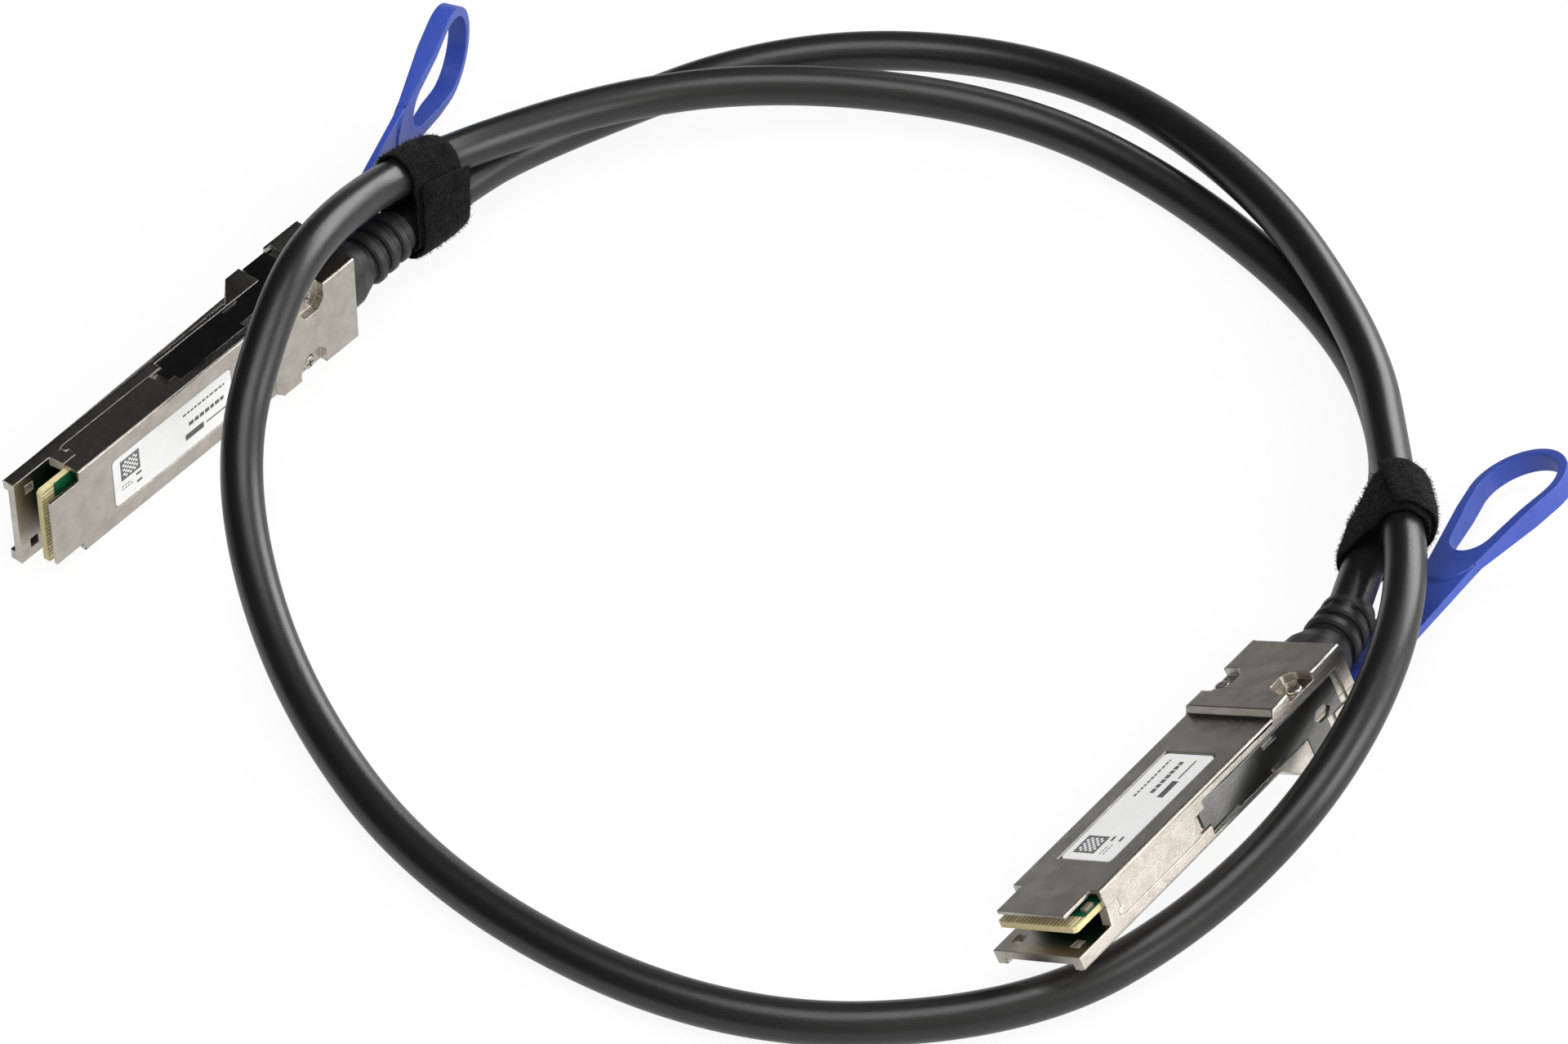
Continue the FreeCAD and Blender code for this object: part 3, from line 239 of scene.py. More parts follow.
def softened(node: str, name: str, width: float) -> Object:
    """Copy a node, merge its points and round its edges.

    Args:
        node: The node that is copied.
        name: Name of the new piece.
        width: Width of the rounding.

    Returns:
        The rounded copy, at the origin.
    """
    obj = copy_of(node, name)
    pick(obj)
    if obj.data.has_custom_normals:
        bpy.ops.mesh.customdata_custom_splitnormals_clear()
    with editing(obj):
        bpy.ops.mesh.remove_doubles(threshold=MERGE_REACH)
        bpy.ops.mesh.dissolve_degenerate(threshold=2 * MERGE_REACH)
        bpy.ops.mesh.beautify_fill(angle_limit=FLAT_ANGLE)
        bpy.ops.mesh.tris_convert_to_quads(face_threshold=FLAT_ANGLE, shape_threshold=ANY_ANGLE)
    modify(obj, "round", "BEVEL", width=width, segments=2, limit_method="ANGLE",
           angle_limit=EDGE_ANGLE, use_clamp_overlap=False)
    smooth_below(obj, EDGE_ANGLE)
    modify(obj, "flat_faces", "WEIGHTED_NORMAL", keep_sharp=True, weight=FACE_WEIGHT)
    return obj


# ---- materials


class Graph:
    """A node tree with short ways to add and join nodes."""

    # Places of a colour Mix node's sockets among its inputs and outputs.
    MIX_FACTOR, MIX_FIRST, MIX_SECOND, MIX_RESULT = 0, 6, 7, 2

    def __init__(self, tree: Tree) -> None:
        """Keep the tree of a material, a world or a group."""
        self.tree = tree

    def join(self, output: Socket, target: Socket) -> None:
        """Link an output to an input."""
        self.tree.links.new(output, target)

    def add(self, kind: str, inputs: dict | None = None, **settings: object) -> Node:
        """Add a node.

        Args:
            kind: The node's type, without its ShaderNode prefix.
            inputs: Values or sockets for its inputs, by name or number.
            settings: Attributes that are set on it first.

        Returns:
            The new node.
        """
        node = self.tree.nodes.new("ShaderNode" + kind)
        for key, value in settings.items():
            setattr(node, key, value)
        for key, value in (inputs or {}).items():
            if isinstance(value, Socket):
                self.join(value, node.inputs[key])
            else:
                node.inputs[key].default_value = value
        return node

    def maths(self, operation: str, *values: object) -> Socket:
        """Add a Math node and give its output.

        Args:
            operation: The node's operation.
            values: Up to three numbers or sockets.
        """
        return self.add("Math", dict(enumerate(values)), operation=operation).outputs[0]

    def noise(self, place: Socket, scale: object, detail: float = 2.0, roughness: float = 0.5
              ) -> Socket:
        """Noise from 0 to 1 at a place, with a number or socket for its scale."""
        inputs = {"Vector": place, "Scale": scale, "Detail": detail, "Roughness": roughness}
        return self.add("TexNoise", inputs).outputs[0]

    def dot(self, first: object, second: object) -> Socket:
        """Dot product of two vectors or vector sockets."""
        node = self.add("VectorMath", {0: first, 1: second}, operation="DOT_PRODUCT")
        return node.outputs["Value"]

    def blend(self, factor: object, first: object, second: object) -> Socket:
        """Mix two colours by a factor and give the result.

        Args:
            factor: Number or socket from 0 to 1.
            first: Colour or socket at 0.
            second: Colour or socket at 1.
        """
        inputs = {self.MIX_FACTOR: factor, self.MIX_FIRST: first, self.MIX_SECOND: second}
        return self.add("Mix", inputs, data_type="RGBA").outputs[self.MIX_RESULT]

    def spread(self, value: object, span: Span, result: Span = UNIT) -> Socket:
        """Map a value from one range to another, clamped.

        Args:
            value: The socket that is mapped.
            span: The values that give the result's two ends.
            result: The result's two ends.
        """
        inputs = dict(enumerate((value, *span, *result)))
        return self.add("MapRange", inputs).outputs[0]


def rgb(colour: Colour) -> tuple[float, float, float, float]:
    """Give a colour its alpha."""
    return (*colour, 1.0)


class Effects:
    """Shader groups that several finishes share, each built once."""

    GRAIN_SPAN = (0.32, 0.68)
    MOTTLE_SPAN = (0.3, 0.7)
    WEAR_SPAN = (0.35, 0.6)
    WEAR_SHARE = (0.15, 1.0)
    SCRATCH_SPAN = (0.66, 0.72)
    PATCH_SPAN = (0.52, 0.6)
    SCRATCH_STRETCH = (1.0, 9.0, 9.0)
    SCRATCH_TURN = (0.4, 0.2, 0.7)

    def __init__(self) -> None:
        """Build the three groups."""
        self.grain = self._grain()
        self.wear = self._wear()
        self.scratches = self._scratches()

    @staticmethod
    def _start(name: str, inputs: dict[str, float], outputs: tuple[str, ...]
               ) -> tuple[Graph, Node, Node, Socket]:
        """Start a group with named float inputs and outputs.

        Args:
            name: Name of the group.
            inputs: Its inputs and what they are by default.
            outputs: Its outputs.

        Returns:
            The graph, its input node, its output node and the place on the surface.
        """
        tree = bpy.data.node_groups.new(name, "ShaderNodeTree")
        for label, value in inputs.items():
            socket = tree.interface.new_socket(label, in_out="INPUT", socket_type="NodeSocketFloat")
            socket.default_value = value
        for label in outputs:
            tree.interface.new_socket(label, in_out="OUTPUT", socket_type="NodeSocketFloat")
        graph = Graph(tree)
        given = tree.nodes.new("NodeGroupInput")
        result = tree.nodes.new("NodeGroupOutput")
        return graph, given, result, graph.add("TexCoord").outputs["Object"]

    def _grain(self) -> Tree:
        """Build fine grain with slow mottling.

        Returns:
            A group that gives both as values from 0 to 1.
        """
        inputs = {"Grain Scale": 4000.0, "Mottle Scale": 120.0}
        graph, given, result, place = self._start("fine_grain", inputs, ("Grain", "Mottle"))
        fine = graph.noise(place, given.outputs[0], detail=3.0, roughness=0.62)
        slow = graph.noise(place, given.outputs[1], detail=4.0, roughness=0.55)
        graph.join(graph.spread(fine, self.GRAIN_SPAN), result.inputs[0])
        graph.join(graph.spread(slow, self.MOTTLE_SPAN), result.inputs[1])
        return graph.tree

    def _wear(self) -> Tree:
        """Build patchy wear.

        Returns:
            A group that turns a mask of edges into worn spots, broken up by noise.
        """
        inputs = {"Edge": 0.0, "Amount": 0.5, "Scale": 900.0}
        graph, given, result, place = self._start("edge_wear", inputs, ("Wear",))
        spots = graph.noise(place, given.outputs[2], detail=5.0, roughness=0.7)
        patchy = graph.spread(spots, self.WEAR_SPAN, self.WEAR_SHARE)
        broken = graph.maths("MULTIPLY", given.outputs[0], patchy)
        worn = graph.maths("MULTIPLY", broken, given.outputs[1])
        graph.join(graph.add("Clamp", {0: worn}).outputs[0], result.inputs[0])
        return graph.tree

    def _scratches(self) -> Tree:
        """Build thin sparse scratches.

        Returns:
            A group that gives them as a mask.
        """
        inputs = {"Scale": 60.0, "Density": 0.5}
        graph, given, result, place = self._start("scratches", inputs, ("Mask",))
        stretched = graph.add("Mapping", {"Vector": place, "Scale": self.SCRATCH_STRETCH,
                                          "Rotation": self.SCRATCH_TURN}).outputs[0]
        lines = graph.noise(stretched, given.outputs[0], detail=6.0, roughness=0.8)
        thin = graph.spread(lines, self.SCRATCH_SPAN)
        where = graph.spread(graph.noise(place, given.outputs[0]), self.PATCH_SPAN)
        mask = graph.maths("MULTIPLY", graph.maths("MULTIPLY", thin, where), given.outputs[1])
        graph.join(graph.add("Clamp", {0: mask}).outputs[0], result.inputs[0])
        return graph.tree


EFFECTS = Effects()


@dataclass(frozen=True)
class Finish:
    """A surface with grain, slow colour changes, worn edges and scratches."""

    name: str
    dark: Colour
    light: Colour
    metallic: float = 0.0
    roughness: Span = (0.35, 0.5)
    grain_scale: float = 4000.0
    grain_height: float = 0.01 * MM
    mottle_scale: float = 120.0
    edge: float = 0.1 * MM
    wear: float = 0.4
    worn: Colour = (0.7, 0.68, 0.64)
    scratch: float = 0.0
    scratch_scale: float = 60.0
    coat: float = 0.0
    sheen: float = 0.0
    specular: float = 0.5
    subsurface: float = 0.0

    MOTTLE_SHARE: ClassVar[float] = 0.65
    GRAIN_SHARE: ClassVar[float] = 0.35
    EDGE_SPAN: ClassVar[Span] = (0.995, 0.9)
    EDGE_SAMPLES: ClassVar[int] = 4
    SCRATCH_ROUGHNESS: ClassVar[float] = 0.15

    def material(self) -> Material:
        """Build the material.

        Returns:
            A node material with a Principled shader.
        """
        material = bpy.data.materials.new(self.name)
        material.use_nodes = True
        graph = Graph(material.node_tree)
        shader = material.node_tree.nodes["Principled BSDF"]
        for socket, value in (
            ("Metallic", self.metallic), ("Coat Weight", self.coat), ("Sheen Weight", self.sheen),
            ("Specular IOR Level", self.specular), ("Subsurface Weight", self.subsurface),
            ("Subsurface Scale", MM),
        ):
            shader.inputs[socket].default_value = value
        grain = graph.add("Group", node_tree=EFFECTS.grain)
        grain.inputs["Grain Scale"].default_value = self.grain_scale
        grain.inputs["Mottle Scale"].default_value = self.mottle_scale
        tone = graph.maths("ADD",
                           graph.maths("MULTIPLY", grain.outputs["Mottle"], self.MOTTLE_SHARE),
                           graph.maths("MULTIPLY", grain.outputs["Grain"], self.GRAIN_SHARE))
        colour = graph.blend(tone, rgb(self.dark), rgb(self.light))
        rough = graph.spread(tone, UNIT, self.roughness[::-1])
        bump = graph.add("Bump", {"Height": grain.outputs["Grain"], "Distance": self.grain_height,
                                  "Strength": 1.0})
        if self.edge > 0:
            rounded = graph.add("Bevel", {"Radius": self.edge}, samples=self.EDGE_SAMPLES)
            flat = graph.add("NewGeometry").outputs["Normal"]
            edge = graph.spread(graph.dot(rounded.outputs[0], flat), self.EDGE_SPAN)
            wear = graph.add("Group", {"Edge": edge, "Amount": self.wear}, node_tree=EFFECTS.wear)
            colour = graph.blend(wear.outputs[0], colour, rgb(self.worn))
            graph.join(rounded.outputs[0], bump.inputs["Normal"])
        if self.scratch > 0:
            marks = graph.add("Group", {"Scale": self.scratch_scale, "Density": self.scratch},
                              node_tree=EFFECTS.scratches).outputs[0]
            colour = graph.blend(marks, colour, rgb(self.worn))
            rubbed = graph.maths("MULTIPLY", marks, self.SCRATCH_ROUGHNESS)
            rough = graph.maths("ADD", rough, rubbed)
        graph.join(colour, shader.inputs["Base Color"])
        graph.join(rough, shader.inputs["Roughness"])
        graph.join(bump.outputs[0], shader.inputs["Normal"])
        return material


NICKEL_CASTING = Finish(
    "nickel_casting", (0.47, 0.43, 0.38), (0.72, 0.67, 0.60), metallic=1.0,
    roughness=(0.18, 0.28), grain_scale=4600.0, grain_height=0.018 * MM, mottle_scale=260.0,
    edge=0.16 * MM, wear=0.6, worn=(0.9, 0.86, 0.8),
)
LATCH_STEEL = Finish(
    "latch_steel", (0.19, 0.188, 0.185), (0.29, 0.288, 0.284), metallic=1.0,
    roughness=(0.16, 0.27), grain_scale=1500.0, grain_height=0.004 * MM, mottle_scale=140.0,
    edge=0.1 * MM, wear=0.4, worn=(0.85, 0.85, 0.86), scratch=0.35, scratch_scale=120.0,
)
SCREW_STEEL = Finish(
    "screw_steel", (0.55, 0.52, 0.48), (0.7, 0.67, 0.62), metallic=1.0,
    roughness=(0.22, 0.34), grain_scale=5000.0, grain_height=0.006 * MM, mottle_scale=900.0,
    edge=0.06 * MM, wear=0.5, worn=(0.85, 0.82, 0.78),
)
CRIMP_COPPER = Finish(
    "crimp_ring", (0.50, 0.36, 0.22), (0.62, 0.46, 0.30), metallic=1.0,
    roughness=(0.25, 0.4), grain_scale=3000.0, grain_height=0.005 * MM, edge=0.08 * MM,
    worn=(0.8, 0.62, 0.42),
)
SPRING_WIRE = Finish(
    "spring_wire", (0.42, 0.42, 0.43), (0.55, 0.55, 0.56), metallic=1.0,
    roughness=(0.2, 0.3), grain_scale=5000.0, grain_height=0.003 * MM, edge=0.0,
)
PAIR_SHIELD = Finish(
    "pair_shield", (0.55, 0.53, 0.50), (0.72, 0.70, 0.66), metallic=1.0,
    roughness=(0.3, 0.45), grain_scale=2500.0, edge=0.05 * MM,
)
CARD_CORE = Finish(
    "card_laminate", (0.50, 0.42, 0.20), (0.66, 0.58, 0.33), roughness=(0.45, 0.6),
    grain_scale=5200.0, grain_height=0.006 * MM, mottle_scale=1500.0, edge=0.06 * MM,
    wear=0.5, worn=(0.74, 0.68, 0.45),
)
SOLDER_MASK = Finish(
    "solder_mask", (0.004, 0.075, 0.035), (0.010, 0.13, 0.06), roughness=(0.2, 0.32),
    grain_scale=2600.0, grain_height=0.004 * MM, mottle_scale=700.0, edge=0.0, coat=0.4,
)
CONTACT_FIELD = Finish(
    "contact_field", (0.05, 0.035, 0.015), (0.10, 0.07, 0.03), roughness=(0.4, 0.55),
    grain_scale=4200.0, grain_height=0.004 * MM, mottle_scale=900.0, edge=0.0,
)
CONTACT_GOLD = Finish(
    "contact_pads", (0.82, 0.69, 0.40), (0.94, 0.83, 0.55), metallic=0.25, roughness=(0.24, 0.38),
    grain_scale=5000.0, grain_height=0.002 * MM, mottle_scale=1200.0, edge=0.0,
)
CERAMIC = Finish(
    "card_parts", (0.16, 0.13, 0.09), (0.30, 0.25, 0.17), grain_height=0.004 * MM,
    mottle_scale=1600.0, edge=0.05 * MM, worn=(0.4, 0.36, 0.28),
)
INNER_MOULD = Finish(
    "inner_mould", (0.03, 0.03, 0.032), (0.06, 0.06, 0.062), roughness=(0.45, 0.6),
    grain_scale=2600.0, worn=(0.12, 0.12, 0.12),
)
LABEL_FILM = Finish(
    "label_film", (0.74, 0.745, 0.74), (0.82, 0.82, 0.81), roughness=(0.34, 0.46),
    grain_scale=1800.0, grain_height=0.003 * MM, mottle_scale=160.0, edge=0.05 * MM,
    wear=0.25, worn=(0.6, 0.6, 0.58),
)
PRINT_INK = Finish(
    "label_ink", (0.05, 0.05, 0.052), (0.12, 0.12, 0.122), roughness=(0.5, 0.6),
    grain_scale=5000.0, grain_height=0.001 * MM, mottle_scale=2500.0, edge=0.0,
)
BOOT_RUBBER = Finish(
    "boot_rubber", (0.009, 0.009, 0.0095), (0.020, 0.020, 0.0205), roughness=(0.36, 0.50),
    grain_scale=2600.0, grain_height=0.012 * MM, mottle_scale=220.0, edge=0.18 * MM,
    wear=0.3, worn=(0.085, 0.085, 0.085), scratch=0.25,
)
TAB_PLASTIC = Finish(
    "tab_plastic", (0.022, 0.048, 0.29), (0.036, 0.074, 0.37), roughness=(0.36, 0.48),
    grain_scale=1900.0, grain_height=0.007 * MM, mottle_scale=90.0, edge=0.25 * MM,
    wear=0.35, worn=(0.10, 0.16, 0.52), scratch=0.12, specular=0.45, subsurface=0.05,
)
CABLE_JACKET = Finish(
    "cable_jacket", (0.0055, 0.0055, 0.0057), (0.011, 0.011, 0.0108), roughness=(0.28, 0.38),
    grain_scale=1700.0, mottle_scale=55.0, edge=0.0, scratch=0.3, scratch_scale=26.0,
    worn=(0.20, 0.195, 0.18), specular=0.68,
)
TIE_FABRIC = Finish(
    "tie_fabric", (0.002, 0.002, 0.0022), (0.008, 0.008, 0.0083), roughness=(0.85, 1.0),
    grain_scale=1500.0, grain_height=0.20 * MM, mottle_scale=420.0, edge=0.0, sheen=0.04,
    specular=0.08,
)


# ---- plugs


class Side(Enum):
    """The two ends of the cable."""

    LEFT = "left"
    RIGHT = "right"


@dataclass(frozen=True)
class PlugPlace:
    """Where a plug's frame lies: its nose in millimetres, its turns in degrees."""

    nose: Point
    turns: tuple[float, float, float]

    def matrix(self) -> Matrix:
        """Work out the plug's place.

        Returns:
            The matrix from the plug's frame, in metres, to the model's frame.
        """
        yaw, pitch, roll = (math.radians(angle) for angle in self.turns)
        turn = Matrix.Rotation(yaw, 4, "Z") @ Matrix.Rotation(pitch, 4, "Y")
        return Matrix.Translation(Vector(self.nose) * MM) @ turn @ Matrix.Rotation(roll, 4, "X")


PLUG_PLACES = {
    Side.LEFT: PlugPlace((-85.95, 86.335, 9.175), (0.0, 0.0, 90.0)),
    Side.RIGHT: PlugPlace((-54.7, -102.2, 10.6), (1.67, 1.92, -30.93)),
}


@dataclass(frozen=True)
class Bar:
    """A row of print in stretches of about piece, in millimetres of the plug's frame."""

    start: float
    end: float
    low: float
    high: float
    piece: float


@dataclass(frozen=True)
class LabelPrint:
    """Plain bars and a block of squares, in millimetres of the plug's frame."""

    bars: tuple[Bar, ...] = (
        Bar(38.4, 43.4, -2.55, -2.2, 5.0),
        Bar(33.4, 37.8, -3.0, -1.7, 4.4),
        Bar(34.4, 42.8, -0.25, 0.6, 1.0),
        Bar(33.2, 43.2, 2.7, 3.15, 0.7),
        Bar(18.2, 20.4, -1.9, -1.65, 0.5),
        Bar(18.2, 20.9, -2.6, -2.35, 0.5),
        Bar(21.6, 22.9, -1.7, -1.2, 1.3),
        Bar(21.6, 22.9, -3.4, -2.9, 1.3),
    )
    shortest: float = 0.1
    space: float = 0.25
    uneven: Span = (0.8, 1.2)
    seed: int = 11
    block: Span = (18.2, -0.5)
    squares: int = 9
    pitch: float = 0.5
    filled: float = 0.96

    def marks(self) -> list[tuple[float, float, float, float]]:
        """Lay out the print.

        Returns:
            Rectangles of ink: the lowest X and Y of each, then its highest.
        """
        chance = random.Random(self.seed)
        marks = []
        for bar in self.bars:
            start = bar.start
            while start < bar.end - self.shortest:
                stop = min(bar.end, start + bar.piece * chance.uniform(*self.uneven))
                marks.append((start, bar.low, stop, bar.high))
                start = stop + self.space
        rim = (0, self.squares - 1)
        side = self.pitch * self.filled
        for column in range(self.squares):
            for row in range(self.squares):
                if (column + row) % 2 == 0 or column in rim or row in rim:
                    x, y = self.block[0] + column * self.pitch, self.block[1] + row * self.pitch
                    marks.append((x, y, x + side, y + side))
        return marks


@dataclass
class Plug:
    """One plug: shells, card, latch, label, screws, boot and pull tab.

    The recesses' turns and twist are in degrees, and the other angles in radians.
    """

    side: Side
    shell_edge: float = 0.12 * MM
    latch_edge: float = 0.06 * MM
    tab_edge: float = 0.2 * MM
    coil_angle: float = math.radians(50)
    screw_at: Point = (63.3 * MM, 7.62 * MM, 7.7 * MM)
    screw_radius: float = 1.3 * MM
    screw_height: float = 1.0 * MM
    screw_sides: int = 40
    screw_angle: float = math.radians(32)
    dome_width: float = 0.3 * MM
    dome_steps: int = 4
    recess_reach: float = 0.85 * MM
    recess_width: float = 0.34 * MM
    recess_depth: float = 0.55 * MM
    recess_turns: tuple[float, float] = (25.0, 115.0)
    recess_twist: float = 20.0
    card_face: float = 6.25 * MM
    card_back: float = 5.25 * MM
    card_half_width: float = 8.21 * MM
    mask_margin: float = 0.15 * MM
    mask_end: float = 23.5 * MM
    mask_thickness: float = 0.03 * MM
    contact_start: float = 2.40 * MM
    contact_end: float = 5.25 * MM
    pad_pitch: float = 0.8 * MM
    gaps: int = 20
    gap_half: float = 0.1 * MM
    gap_setback: float = 0.16 * MM
    gap_lift: float = 0.006 * MM
    long_gap: int = 1
    long_gap_every: int = 4
    print_level: float = 8.374 * MM
    place: Matrix = field(init=False)

    def __post_init__(self) -> None:
        """Look up the plug's place."""
        self.place = PLUG_PLACES[self.side].matrix()

    def node(self, part: str) -> str:
        """Name of one of this plug's nodes."""
        return f"{self.side.value}_{part}"

    @property
    def latch_body(self) -> str:
        """Body of the latch slide and its tab."""
        return self.node("latch")

    def build(self, finishes: Finishes) -> None:
        """Dress the nodes and add the detailed pieces.

        Args:
            finishes: The materials by name.
        """
        self._dress_nodes(finishes)
        self._round_edges(finishes)
        self._screws(finishes["screw_steel"])
        self._masks(finishes["solder_mask"])
        self._pad_gaps(finishes["contact_field"])
        self._springs(finishes["spring_wire"])
        self._label_print(finishes["label_ink"])

    def _dress_nodes(self, finishes: Finishes) -> None:
        """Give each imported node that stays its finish.

        Args:
            finishes: The materials by name.
        """
        wanted = {
            "paddle_card": "card_laminate",
            "card_pads": "contact_pads",
            "card_parts": "card_parts",
            "signal_pairs": "pair_shield",
            "inner_mould": "inner_mould",
            "crimp_ring": "crimp_ring",
            "label": "label_film",
            "strain_boot": "boot_rubber",
        }
        for part, finish in wanted.items():
            dress(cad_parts[self.node(part)], finishes[finish])

    def _round_edges(self, finishes: Finishes) -> None:
        """Replace the shells, the latch and the tab by copies with rounded edges.

        Args:
            finishes: The materials by name.
        """
        for part, width, body, slot, finish in (
            ("upper_shell", self.shell_edge, ROOT, "cast_shell", "nickel_casting"),
            ("lower_shell", self.shell_edge, ROOT, "cast_shell", "nickel_casting"),
            ("latch_slide", self.latch_edge, self.latch_body, "latch_steel", "latch_steel"),
            ("pull_tab", self.tab_edge, self.latch_body, "tab_plastic", "tab_plastic"),
        ):
            node = self.node(part)
            seat(softened(node, node + "_formed", width), body, finishes[finish], node)

    def _springs(self, material: Material) -> None:
        """Copy the return springs in place of the imported ones.

        Args:
            material: The spring wire.
        """
        node = self.node("latch_springs")
        springs = copy_of(node, node + "_coiled")
        smooth_below(springs, self.coil_angle)
        dress(springs, material)
        self.latch_body
        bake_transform(springs)
        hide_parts(node)
        log.info("piece %s from %s to %s", springs.name, ROOT, self.latch_body)

    def _screw(self, sign: int) -> Object:
        """Model one cover screw with a domed head and a cross recess.

        Args:
            sign: 1 for the screw on the +Y side, -1 for the other.

        Returns:
            The screw, in the plug's frame.
        """
        x, y, low = self.screw_at
        deselect()
        bpy.ops.mesh.primitive_cylinder_add(
            vertices=self.screw_sides, radius=self.screw_radius, depth=self.screw_height,
            location=(x, sign * y, low + self.screw_height / 2),
        )
        head = bpy.context.object
        modify(head, "dome", "BEVEL", width=self.dome_width, segments=self.dome_steps,
               limit_method="ANGLE")
        for turn in self.recess_turns:
            deselect()
            bpy.ops.mesh.primitive_cube_add(
                size=1.0, location=(x, sign * y, low + self.screw_height),
                rotation=(0, 0, math.radians(turn + self.recess_twist * sign)),
                scale=(2 * self.recess_reach, self.recess_width, 2 * self.recess_depth),
            )
            cutter = bpy.context.object
            modify(head, "recess", "BOOLEAN", object=cutter, operation="DIFFERENCE",
                   solver="EXACT")
            bpy.data.objects.remove(cutter)
        return head

    def _screws(self, material: Material) -> None:
        """Model the two cover screws as one piece.

        Args:
            material: The screws' steel.
        """
        screws, other = self._screw(1), self._screw(-1)
        join(screws, other)
        screws.name = self.node("cover_screws_formed")
        settle(screws, self.place)
        smooth_below(screws, self.screw_angle)
        seat(screws, ROOT, material, self.node("cover_screws"))

    def _masks(self, material: Material) -> None:
        """Add the green mask as a thin plate on both faces of the card.

        Args:
            material: The mask.
        """
        length = self.mask_end - self.contact_end
        width = 2 * (self.card_half_width - self.mask_margin)
        for face, level in (("top", self.card_face + self.mask_thickness / 2),
                            ("under", self.card_back - self.mask_thickness / 2)):
            deselect()
            bpy.ops.mesh.primitive_cube_add(
                size=1.0, location=(self.contact_end + length / 2, 0.0, level),
                scale=(length, width, self.mask_thickness),
            )
            plate = bpy.context.object
            plate.name = self.node(f"card_mask_{face}")
            with editing(plate):
                bpy.ops.mesh.bevel(offset=self.mask_thickness / 4, segments=1)
            settle(plate, self.place)
            seat(plate, ROOT, material)

    def _patches(
        self, name: str, patches: list[tuple[float, float, float, float, float]]
    ) -> Object:
        """Make one mesh of flat rectangles that lie across the plug's Z axis.

        Args:
            name: Name of the piece, without the plug's side.
            patches: X and Y of two opposite corners of each, and its Z. It faces up, or down
                if only one of X and Y falls from the first corner to the second.

        Returns:
            The object, in the model's frame.
        """
        points, faces = [], []
        for x0, y0, x1, y1, level in patches:
            first = len(points)
            points += [self.place @ Vector((x, y, level))
                       for x, y in ((x0, y0), (x1, y0), (x1, y1), (x0, y1))]
            faces.append(tuple(range(first, first + 4)))
        return new_mesh(self.node(name), points, faces)

    def _pad_gaps(self, material: Material) -> None:
        """Add the dark gaps between the pads on both faces of the card, one in four longer.

        Args:
            material: The gaps' finish.
        """
        patches = []
        for face, outward in ((self.card_face, 1), (self.card_back, -1)):
            level = face + outward * self.gap_lift
            half = outward * self.gap_half
            for gap in range(self.gaps):
                middle = (gap - (self.gaps - 1) / 2) * self.pad_pitch
                is_long = gap % self.long_gap_every == self.long_gap
                start = self.contact_start + (0.0 if is_long else self.gap_setback)
                patches.append((start, middle - half, self.contact_end, middle + half, level))
        seat(self._patches("card_gaps", patches), ROOT, material)

    def _label_print(self, material: Material) -> None:
        """Print plain bars and a block of squares on the label.

        Args:
            material: The ink.
        """
        patches = [(*(value * MM for value in mark), self.print_level)
                   for mark in LabelPrint().marks()]
        seat(self._patches("label_print", patches), ROOT, material)


# ---- cable


